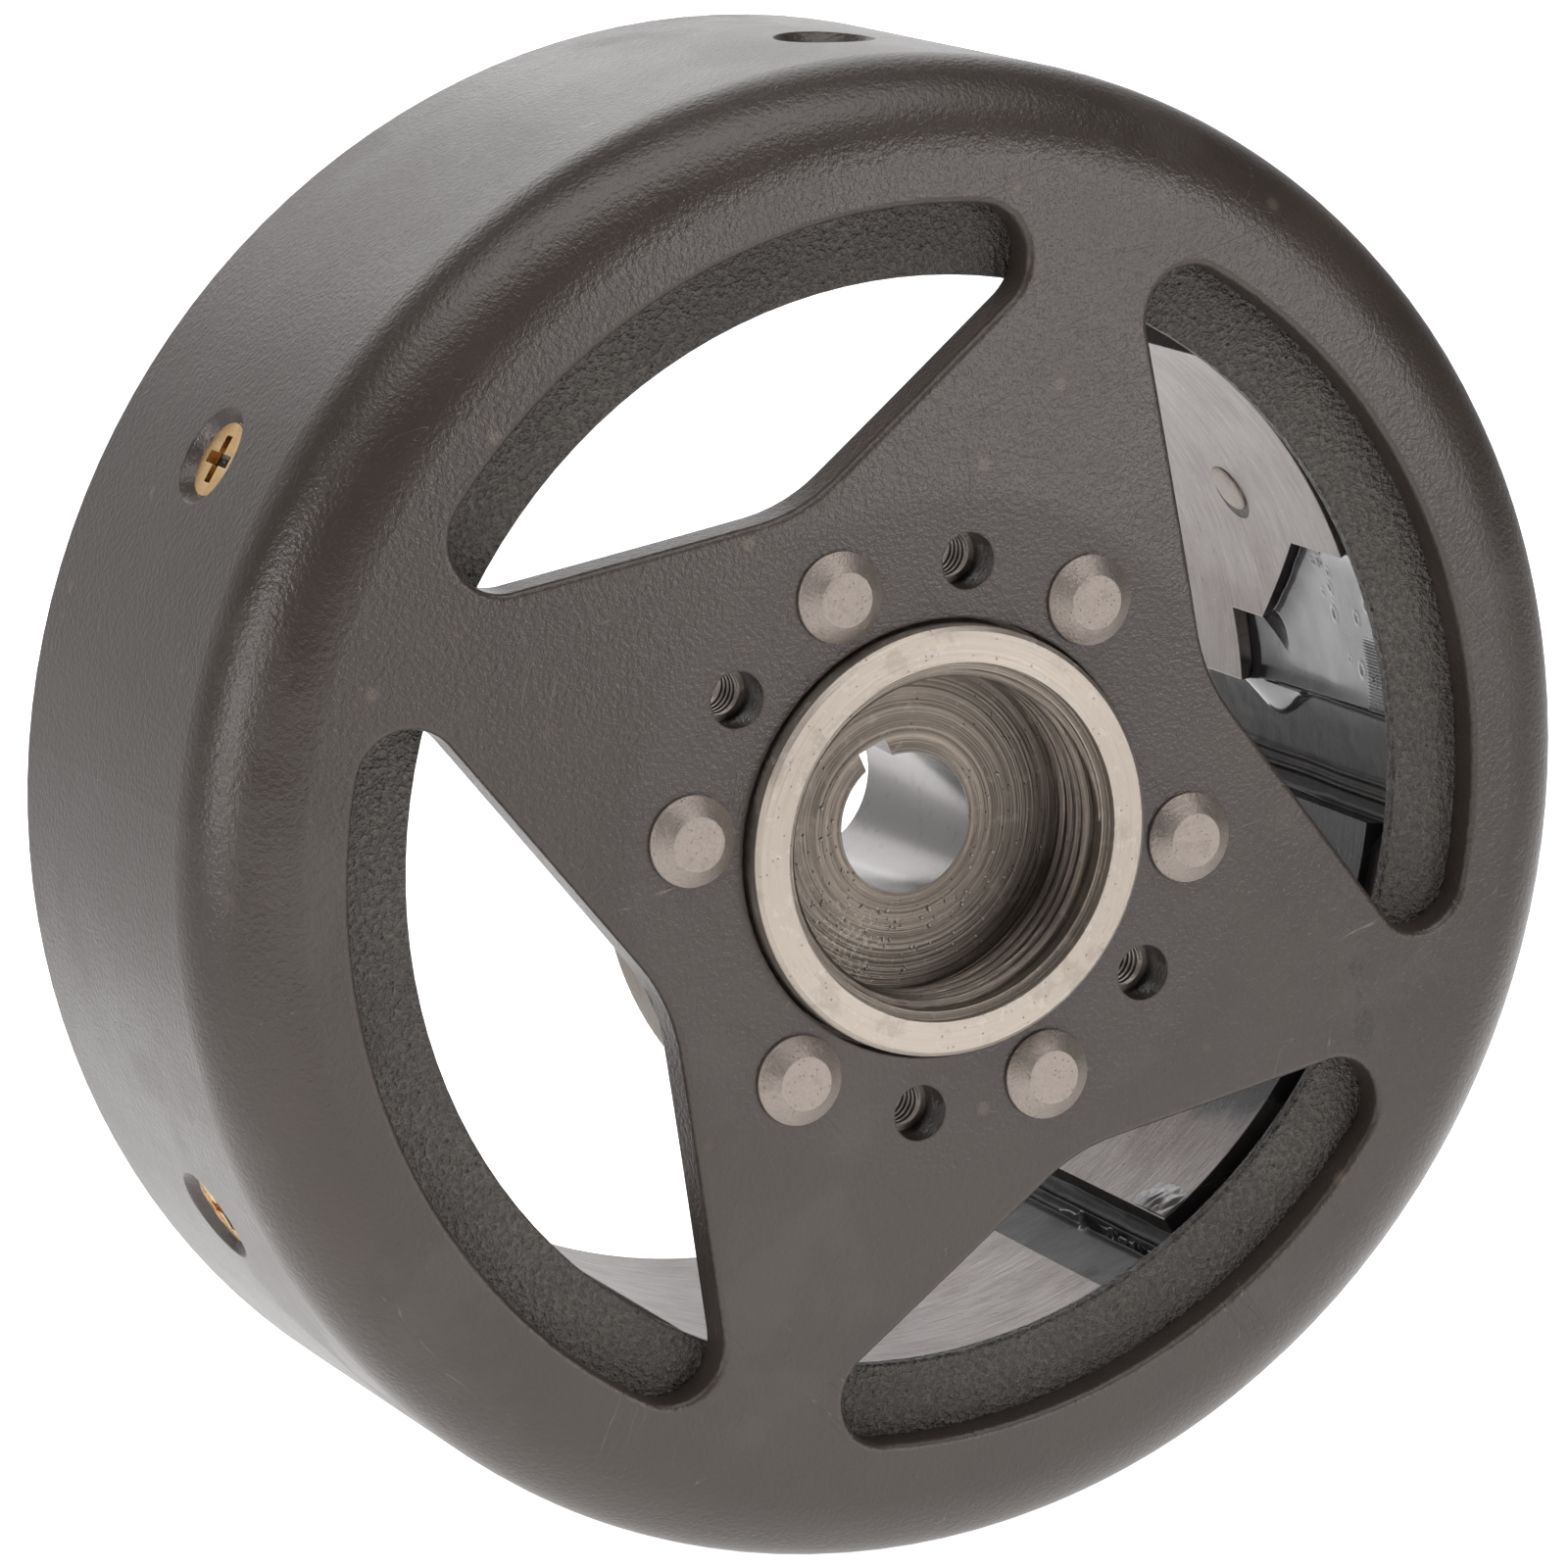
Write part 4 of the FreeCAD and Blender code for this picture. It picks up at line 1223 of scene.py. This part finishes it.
@dataclass(frozen=True)
class ResinSheet:
    """Patch of set resin on the inside of the magnets: a skin with thick, drawn-up borders."""

    name: str
    clock: Clock
    low_angle: float
    high_angle: float
    front: float
    rear: float
    wall: float
    thickness: Callable[[float, float, Vector], float]
    columns: int = 56
    rows: int = 120

    def build(self, material: bpy.types.Material) -> bpy.types.Object:
        """Draw the patch as a closed shell.

        Args:
            material: Its finish.

        Returns:
            The piece.
        """
        skin, back = [], []
        for row in range(self.rows + 1):
            depth = self.front + (self.rear - self.front) * row / self.rows
            skin_row, back_row = [], []
            for column in range(self.columns + 1):
                share = column / self.columns
                angle = self.low_angle + (self.high_angle - self.low_angle) * share
                foot = self.clock.place(self.wall, angle, depth)
                thick = max(-0.02, self.thickness(angle, depth, foot))
                skin_row.append(self.clock.place(self.wall - thick, angle, depth))
                back_row.append(self.clock.place(self.wall + 0.03, angle, depth))
            skin.append(skin_row)
            back.append(back_row)
        draft = Draft()
        draft.close_grids(draft.add_grid(skin), draft.add_grid(back))
        return draft.finish(self.name, material, Slot.RESIN)


@dataclass(frozen=True)
class Drop:
    """One rounded drop of resin: place in metres, radius in mm, and how long it hangs."""

    angle: float
    radius: float
    depth: float
    size: float
    stretch: float = 1.0
    flat: float = 0.6


@dataclass(frozen=True)
class Resin:
    """The poured resin: gap fills, seam glue, smear, edge fill, notch fill with lobe, lumps."""

    clock: Clock
    wall: float = 54.58
    poles: int = 6
    first_pole: float = 34.5
    shoe_half: float = 24.6
    front: float = 6.9
    rear: float = 46.9
    sixth_front: float = 9.9
    seams: tuple[float, ...] = (-2.7, 0.8, -0.5, 0.4, -0.9, 2.7)
    notch_side: float = 5.3
    notch_toe: float = 15.8
    notch_knee: float = 18.0
    notch_toe_depth: float = 28.5
    notch_floor: float = 34.3
    lobe_depth: float = 32.0
    lobe_spread: float = 5.2
    lobe_drop: float = 3.8
    lobe_thick: float = 1.4
    bubbles: int = 15

    def build(self, palette: Palette) -> list[bpy.types.Object]:
        """Build every resin piece.

        Args:
            palette: The finishes.

        Returns:
            The pieces.
        """
        plain = palette.by_slot[Slot.RESIN]
        glossy = palette.glossy_resin
        pieces = [self.gap(index).build(plain) for index in range(self.poles)]
        pieces.append(self.notch().build(glossy))
        pieces.append(self.seam_glue().build(glossy))
        pieces.append(self.smear().build(palette.clear_resin))
        pieces.append(self.edge_fill().build(plain))
        pieces.append(self.drops("resin_lumps", self.lumps(), glossy))
        return pieces

    def gap(self, index: int) -> ResinSheet:
        """Fill of one gap between shoes: a thin film, squeezed up along the seam and the shoes."""
        middle = self.first_pole - 180.0 / self.poles + index * 360.0 / self.poles
        half = 180.0 / self.poles - self.shoe_half

        def thickness(angle: float, depth: float, foot: Vector) -> float:
            """Resin over the magnets at a place, mm."""
            side = half - abs(angle - middle)
            wander = 0.12 * ripple(foot, 7.0, index + 1.0)
            off = angle - middle - self.seams[index] - wander
            meniscus = 0.8 * math.exp(-max(side, 0.0) * 2.4) * (1.0 + 0.5 * ripple(foot, 4.0, index))
            ridges = 0.42 * math.exp(-((abs(off) - 0.75) / 0.28) ** 2)
            groove = -0.12 * math.exp(-(off / 0.4) ** 2)
            lumps = 0.07 * ripple(foot, 5.0, index + 3.0) + 0.03 * ripple(foot, 1.4, index)
            ends = ease(0.0, 1.2, depth - self.front) * ease(0.0, 1.2, self.rear - depth)
            return (0.20 + meniscus + ridges + groove + lumps) * ends

        return ResinSheet(f"resin_gap_{index + 1}", self.clock, middle - half - 0.2,
                          middle + half + 0.2, self.front, self.rear, self.wall, thickness, 90)

    def notch_room(self, offset: float, depth: float) -> float:
        """How far inside the notch a place lies, in mm; negative under the shoe.

        Args:
            offset: Degrees below the first pole's centre.
            depth: Depth behind the front face, mm.

        Returns:
            Distance to the nearest side of the notch.
        """
        per_degree = math.radians(1.0) * self.wall
        slope = (self.notch_toe - self.notch_side) / (self.notch_toe_depth - self.notch_knee)
        side = self.notch_side + max(0.0, depth - self.notch_knee) * slope
        side = min(side, self.notch_toe)
        return min((offset - side) * per_degree, self.notch_floor - depth)

    def lobe(self, below: float, depth: float) -> float:
        """Thickness of the lobe that sagged out of the notch.

        Args:
            below: Degrees below the first shoe's lower edge.
            depth: Depth behind the front face, mm.

        Returns:
            Thickness in mm, zero outside the lobe.
        """
        reach = self.lobe_drop * math.exp(-((depth - self.lobe_depth) / self.lobe_spread) ** 2)
        share = below / max(reach, 0.01)
        if share >= 1.0:
            return 0.0
        return self.lobe_thick * min(1.0, reach) * (1.0 - share ** 2) ** 0.5

    def pocks(self) -> list[tuple[float, float, float]]:
        """Burst bubbles of the notch: angle, depth and size in mm."""
        dice = random.Random(17)
        return [(self.first_pole - dice.uniform(8.0, 21.0), dice.uniform(11.5, 20.0),
                 dice.uniform(0.14, 0.42)) for _ in range(self.bubbles)]

    def notch(self) -> ResinSheet:
        """Fill of the notch in the first shoe, thick along its sides, with burst bubbles."""
        pocks = self.pocks()
        per_degree = math.radians(1.0) * self.wall

        def dents(angle: float, depth: float) -> float:
            """Height of the burst bubbles at a place, mm."""
            total = 0.0
            for pock_angle, pock_depth, size in pocks:
                across = (angle - pock_angle) * per_degree / 1.7
                away = math.hypot(across, depth - pock_depth) / size
                total += 0.16 * size * (math.exp(-(away - 1.0) ** 2 * 5.0) - math.exp(-away * away))
            return total

        def thickness(angle: float, depth: float, foot: Vector) -> float:
            """Resin over the magnet at a place, mm."""
            below = self.first_pole - angle - self.shoe_half
            if below > 0.0:
                return self.lobe(below, depth)
            room = self.notch_room(self.first_pole - angle, depth)
            if room < 0.0:
                return 0.05
            meniscus = 1.3 * math.exp(-room * 0.7)
            lumps = 0.22 * ripple(foot, 9.0, 8.0) + 0.05 * ripple(foot, 3.0, 2.0)
            sag = 0.5 * math.exp(-(below / 1.1) ** 2) * ease(10.0, 24.0, depth)
            combed = 0.10 * math.sin(angle * per_degree / 0.34 * 2.0 * math.pi)
            combed *= ease(14.2, 13.4, depth) * ease(-8.5, -7.0, below)
            return 0.45 + meniscus + sag + lumps + combed + dents(angle, depth)

        low = self.first_pole - self.shoe_half - self.lobe_drop - 0.1
        return ResinSheet("resin_notch", self.clock, low, self.first_pole - self.notch_side + 0.4,
                          self.front + 0.1, self.lobe_depth + 9.0, self.wall, thickness, 300, 220)

    def seam_glue(self) -> ResinSheet:
        """Glue along the last gap's seam: a ridge with one swelling and a flaky strip."""
        seam = self.first_pole - 180.0 / self.poles + 300.0 + self.seams[-1]

        def thickness(angle: float, depth: float, foot: Vector) -> float:
            """Glue over the seam at a place, mm."""
            off = angle - seam
            wander = 0.25 * ripple(foot, 5.0, 4.0)
            ridge = 0.75 * math.exp(-((off - wander) / 0.34) ** 2)
            ridge *= ease(9.0, 10.5, depth) * ease(31.0, 27.0, depth)
            swelling = 1.35 * math.exp(-((off + 0.1) / 0.95) ** 2 - ((depth - 23.2) / 1.7) ** 2)
            flaky = max(0.0, 0.25 + ripple(foot, 1.1, 6.0)) * math.exp(-((off + 0.3) / 0.85) ** 2)
            flaky *= ease(9.5, 10.5, depth) * ease(20.5, 18.0, depth)
            return ridge + swelling + 1.1 * flaky - 0.03

        return ResinSheet("resin_seam_glue", self.clock, seam - 2.6, seam + 2.4, self.front + 1.6,
                          31.5, self.wall, thickness, 90, 200)

    def smear(self) -> ResinSheet:
        """Thin wrinkled smear on the sixth shoe's front lower corner."""
        edge = self.first_pole + 300.0 - self.shoe_half

        def thickness(angle: float, depth: float, foot: Vector) -> float:
            """Smear over the shoe's inner face at a place, mm."""
            spread = ((angle - edge - 1.6) / 2.0) ** 2 + ((depth - 12.6) / 3.2) ** 2
            wrinkles = 0.6 + 0.9 * abs(ripple(foot, 1.3, 5.0)) + 0.4 * ripple(foot, 2.9, 9.0)
            return 0.42 * math.exp(-spread) * wrinkles - 0.05

        return ResinSheet("resin_smear", self.clock, edge + 0.25, edge + 6.5,
                          self.sixth_front + 0.15, 22.0, 51.5, thickness, 110, 130)

    def edge_fill(self) -> ResinSheet:
        """Dark fill over the magnet, before the sixth shoe's front edge."""
        edge = self.first_pole + 300.0 + self.shoe_half

        def thickness(angle: float, depth: float, foot: Vector) -> float:
            """Fill over the magnet at a place, mm."""
            return 2.1 + 0.06 * ripple(foot, 4.0, 3.0) - 1.2 * ease(edge - 3.0, edge, angle)

        return ResinSheet("resin_edge_fill", self.clock, edge - 17.0, edge, self.front,
                          self.sixth_front + 0.05, self.wall, thickness, 60, 24)

    def lumps(self) -> list[Drop]:
        """Glue lumps over the seam beside the lower left window, in front of the ring."""
        return [
            Drop(245.5, 53.8, 8.6, 1.0, 1.6, 0.5),
            Drop(243.2, 54.0, 8.2, 0.7, 1.3, 0.5),
        ]

    def drops(self, name: str, places: Sequence[Drop],
              material: bpy.types.Material) -> bpy.types.Object:
        """Rounded, uneven drops as one piece of closed shells.

        Args:
            name: Name of the piece.
            places: The drops.
            material: Their finish.

        Returns:
            The piece.
        """
        draft = Draft()
        rings, spokes = 22, 32
        for number, drop in enumerate(places):
            centre = self.clock.place(drop.radius, drop.angle, drop.depth)
            outward = self.clock.outward(drop.angle)
            along = Vector((0.0, 1.0, 0.0))
            turn = Matrix((along, outward.cross(along), outward)).transposed()
            rows = []
            for ring in range(1, rings):
                polar = math.pi * ring / rings
                row = []
                for spoke in range(spokes):
                    azimuth = 2.0 * math.pi * spoke / spokes
                    ray = Vector((math.sin(polar) * math.cos(azimuth),
                                  math.cos(polar) * drop.stretch,
                                  math.sin(polar) * math.sin(azimuth) * drop.flat))
                    swell = 1.0 + 0.16 * ripple(ray * MM * 2.0, 1.9, number * 3.1)
                    row.append(centre + turn @ (ray * drop.size * swell * MM))
                rows.append(row)
            index = draft.add_grid(rows, loop_rows=True)
            draft.faces.append(tuple(index[0]))
            draft.faces.append(tuple(reversed(index[-1])))
        return draft.finish(name, material, Slot.RESIN)


@dataclass(frozen=True)
class SinkFill:
    """Resin left round each screw head, from the head's rim up to the countersink's edge."""

    clock: Clock
    first_pole: float = 34.5
    poles: int = 6
    depth: float = 26.3
    wall: float = 71.0
    head: float = 3.62
    sink: float = 4.86
    rim: float = 69.95
    thick: float = 0.45
    spokes: int = 72
    rings: int = 9

    def build(self, palette: Palette) -> bpy.types.Object:
        """Draw six rings with a sunk, uneven upper face.

        Args:
            palette: The finishes.

        Returns:
            The piece.
        """
        draft = Draft()
        for index in range(self.poles):
            angle = self.first_pole + index * 360.0 / self.poles
            self.add_ring(draft, angle, index)
        return draft.finish("resin_sinks", palette.glossy_resin, Slot.RESIN)

    def add_ring(self, draft: Draft, angle: float, index: int) -> None:
        """Add one ring.

        Args:
            draft: The draft to add to.
            angle: Clock angle of the screw.
            index: Number of the screw, which seeds its unevenness.
        """
        outward = self.clock.outward(angle)
        along = Vector((0.0, 1.0, 0.0))
        across = outward.cross(along)
        centre = along * self.depth
        rows = []
        for spoke in range(self.spokes):
            turn = 2.0 * math.pi * spoke / self.spokes
            ray = across * math.cos(turn) + along * math.sin(turn)
            top, low = [], []
            for ring in range(self.rings + 1):
                share = ring / self.rings
                reach = self.head + (self.sink - self.head) * share
                surface = math.sqrt(self.wall ** 2 - (reach * math.cos(turn)) ** 2) - 0.06
                dip = 0.22 * ripple(ray * MM * 2.2, 1.5, index * 2.3)
                height = self.rim + (surface - self.rim) * share ** 2.2
                height += (dip - 0.12) * math.sin(math.pi * share)
                top.append((centre + ray * reach + outward * height) * MM)
                under = max(self.rim - self.thick, surface - (self.sink - reach) - 0.5)
                low.append((centre + ray * reach + outward * min(under, height - 0.05)) * MM)
            rows.append(top + list(reversed(low)))
        rows.append(rows[0])
        start = len(draft.points)
        wide = len(rows[0])
        for row in rows[:-1]:
            draft.points.extend(row)
        for spoke in range(self.spokes):
            after = (spoke + 1) % self.spokes
            for corner in range(wide):
                beside = (corner + 1) % wide
                draft.faces.append((start + spoke * wide + corner, start + spoke * wide + beside,
                                    start + after * wide + beside, start + after * wide + corner))


@dataclass(frozen=True)
class SpreadTips:
    """Ends of the pole screws, hammered flat over the shoes' inner faces."""

    clock: Clock
    first_pole: float = 34.5
    poles: int = 6
    depth: float = 26.3
    seat: float = 51.58
    radius: float = 2.65
    height: float = 0.42
    rings: int = 10
    spokes: int = 48

    def build(self, palette: Palette) -> bpy.types.Object:
        """Draw six uneven flat domes.

        Args:
            palette: The finishes by slot.

        Returns:
            The piece.
        """
        draft = Draft()
        for index in range(self.poles):
            self.add_dome(draft, self.first_pole + index * 360.0 / self.poles, index)
        return draft.finish("screw_tips", palette.by_slot[Slot.RIVET_STEEL], Slot.RIVET_STEEL)

    def add_dome(self, draft: Draft, angle: float, index: int) -> None:
        """Add one dome.

        Args:
            draft: The draft to add to.
            angle: Clock angle of the screw.
            index: Number of the screw, which seeds its unevenness.
        """
        outward = self.clock.outward(angle)
        along = Vector((0.0, 1.0, 0.0))
        across = outward.cross(along)
        centre = along * self.depth + outward * self.seat
        rows = []
        for ring in range(self.rings + 1):
            share = 1.0 - 0.97 * ring / self.rings
            lift = self.height * (1.0 - share ** 4) ** 0.5
            row = []
            for spoke in range(self.spokes):
                turn = 2.0 * math.pi * spoke / self.spokes
                ray = across * math.cos(turn) + along * math.sin(turn)
                reach = self.radius * share * (1.0 + 0.05 * ripple(ray * MM, 0.9, index * 3.3))
                row.append((centre + ray * reach - outward * lift) * MM)
            rows.append(row)
        grid = draft.add_grid(rows, loop_rows=True)
        draft.faces.append(tuple(grid[-1]))
        draft.faces.append(tuple(reversed(grid[0])))


@dataclass(frozen=True)
class SocketGrit:
    """Crumbs of dried grease and metal on the socket's floor."""

    floor: float
    low_radius: float = 7.6
    high_radius: float = 15.2
    crumbs: int = 150

    def build(self, palette: Palette) -> bpy.types.Object:
        """Scatter small uneven crumbs, thicker low in the socket.

        Args:
            palette: The finishes by slot.

        Returns:
            The piece.
        """
        dice = random.Random(23)
        draft = Draft()
        for _ in range(self.crumbs):
            radius = dice.uniform(self.low_radius, self.high_radius)
            angle = dice.gauss(math.radians(245.0), 0.85)
            size = dice.uniform(0.06, 0.24)
            middle = Vector((radius * math.cos(angle), self.floor - size * 0.35,
                             radius * math.sin(angle)))
            self.crumb(draft, middle, size, dice)
        return draft.finish("socket_grit", palette.residue, Slot.TURNED_STEEL)

    @staticmethod
    def crumb(draft: Draft, middle: Vector, size: float, dice: random.Random) -> None:
        """Add one crumb: an eight-sided lump with uneven corners."""
        start = len(draft.points)
        rays = [(1, 0, 0), (0, 1, 0), (-1, 0, 0), (0, -1, 0), (0, 0, 1), (0, 0, -1)]
        for ray in rays:
            corner = middle + Vector(ray) * size * dice.uniform(0.6, 1.3)
            draft.points.append(corner * MM)
        for here in range(4):
            there = (here + 1) % 4
            draft.faces.append((start + here, start + there, start + 4))
            draft.faces.append((start + there, start + here, start + 5))


# --- Studio --------------------------------------------------------------------------------------

@dataclass(frozen=True)
class Studio:
    """Pale sweep, soft lamps and camera."""

    low: Vector
    high: Vector
    sweep_half: float = 2.2
    sweep_front: float = -2.4
    sweep_back: float = 1.5
    sweep_height: float = 2.4
    bend: float = 0.7
    azimuth: float = -26.47
    elevation: float = 12.15
    distance: float = 0.64
    lens: float = 160.6
    sensor: float = 36.0
    aim: tuple[float, float, float] = (-0.01322, 0.00636, 0.00519)

    def lay_sweep(self, palette: Palette) -> None:
        """Floor that curves up into a backdrop, just under the flywheel."""
        floor = self.low.z - 0.0002
        profile = [(self.sweep_front, floor), (self.sweep_back - self.bend, floor)]
        for step in range(1, 17):
            turn = math.pi / 2 * step / 16
            profile.append((self.sweep_back - self.bend + self.bend * math.sin(turn),
                            floor + self.bend * (1.0 - math.cos(turn))))
        profile.append((self.sweep_back, floor + self.sweep_height))
        rows = [[Vector((-self.sweep_half, y, z)), Vector((self.sweep_half, y, z))]
                for y, z in profile]
        draft = Draft()
        draft.add_grid(rows)
        mesh = bpy.data.meshes.new("sweep")
        mesh.from_pydata([tuple(point) for point in draft.points], [], draft.faces)
        mesh.polygons.foreach_set("use_smooth", [True] * len(mesh.polygons))
        mesh.materials.append(palette.sweep)
        sweep = bpy.data.objects.new("sweep", mesh)
        bpy.context.scene.collection.objects.link(sweep)
        sweep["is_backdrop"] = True

    def hang_lamp(self, name: str, place: Vector, target: Vector, size: tuple[float, float],
                  power: float) -> None:
        """Hang one soft rectangular lamp.

        Args:
            name: Name of the lamp.
            place: Where it hangs, in metres.
            target: What it points at.
            size: Width and height in metres.
            power: Watts.
        """
        data = bpy.data.lights.new(name, "AREA")
        data.shape = "RECTANGLE"
        data.size, data.size_y = size
        data.energy = power
        lamp = bpy.data.objects.new(name, data)
        bpy.context.scene.collection.objects.link(lamp)
        lamp.location = place
        lamp.rotation_mode = "QUATERNION"
        lamp.rotation_quaternion = (target - place).to_track_quat("-Z", "Y")

    def light(self) -> None:
        """Hang the lamps and set a dim surround."""
        middle = (self.low + self.high) / 2
        self.hang_lamp("lamp_top", Vector((-0.1, -0.3, 1.15)), middle, (1.7, 0.8), 13.5)
        self.hang_lamp("lamp_left", Vector((-1.2, -0.12, 0.10)), middle, (0.42, 0.9), 8.3)
        self.hang_lamp("lamp_front", Vector((0.66, -1.08, 0.06)), middle, (0.7, 0.6), 7.5)
        self.hang_lamp("lamp_back", Vector((0.0, 1.30, 0.75)), middle, (0.9, 0.5), 2.2)
        world = bpy.data.worlds.new("surround")
        world.use_nodes = True
        ground = world.node_tree.nodes["Background"]
        ground.inputs["Color"].default_value = (1.0, 1.0, 1.0, 1.0)
        ground.inputs["Strength"].default_value = 0.055
        bpy.context.scene.world = world

    def place_camera(self) -> None:
        """Set the camera at the flywheel's showing angle."""
        turn, rise = math.radians(self.azimuth), math.radians(self.elevation)
        back = Vector((math.sin(turn) * math.cos(rise), -math.cos(turn) * math.cos(rise),
                       math.sin(rise)))
        data = bpy.data.cameras.new("camera")
        data.lens = self.lens
        data.sensor_width = self.sensor
        data.clip_start, data.clip_end = 0.01, 20.0
        camera = bpy.data.objects.new("camera", data)
        bpy.context.scene.collection.objects.link(camera)
        camera.location = Vector(self.aim) + back * self.distance
        camera.rotation_mode = "QUATERNION"
        camera.rotation_quaternion = (-back).to_track_quat("-Z", "Y")
        bpy.context.scene.camera = camera

    def set_up(self, palette: Palette) -> None:
        """Lay the sweep, hang the lamps and place the camera."""
        self.lay_sweep(palette)
        self.light()
        self.place_camera()
        bpy.context.scene.view_settings.view_transform = "Standard"
        log.info("studio ready")


# --- Assembly ------------------------------------------------------------------------------------

def thread_ridges(record: dict) -> list[ThreadRidge]:
    """Ridges for the socket and the tapped holes, placed by their mounts.

    Args:
        record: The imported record.

    Returns:
        The ridges, ready to build.
    """
    hub_low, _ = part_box("hub")
    ridges = []
    for mount in record["mounts"]:
        if mount["kind"] != "threaded_hole":
            continue
        wall = mount["dims"]["r_mm"]
        large = wall > 10.0
        centre = Vector((mount["pos_m"][0], 0.0, mount["pos_m"][2]))
        start = hub_low.y / MM + 1.0 if large else 3.95
        end = start + mount["dims"]["length_mm"]
        pitch = 1.5 if large else 0.8
        depth = 0.81 if large else 0.08
        # Small holes' ridges take the black coat: partly paint over their threads, partly painted shade
        # deep inside the holes.
        slot = Slot.TURNED_STEEL if large else Slot.BLACK_COAT
        ridges.append(ThreadRidge(f"thread_{mount['name']}", centre, wall, wall - depth, pitch,
                                  start, end, slot, 160 if large else 40))
    return ridges


def main() -> None:
    """Build every class in order and report it."""
    logging.basicConfig(level=logging.INFO, format="%(name)s: %(message)s")
    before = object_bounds()
    record = frame["record"]
    clock = Clock.from_record(record)
    palette = Palette.mix(clock)
    CadNodes(record).dress(palette)
    for ridge in thread_ridges(record):
        ridge.build(palette)
    Resin(clock).build(palette)
    SinkFill(clock).build(palette)
    SpreadTips(clock).build(palette)
    SocketGrit(floor=7.7).build(palette)
    Studio(*before).set_up(palette)


if __name__ == "__main__":
    main()
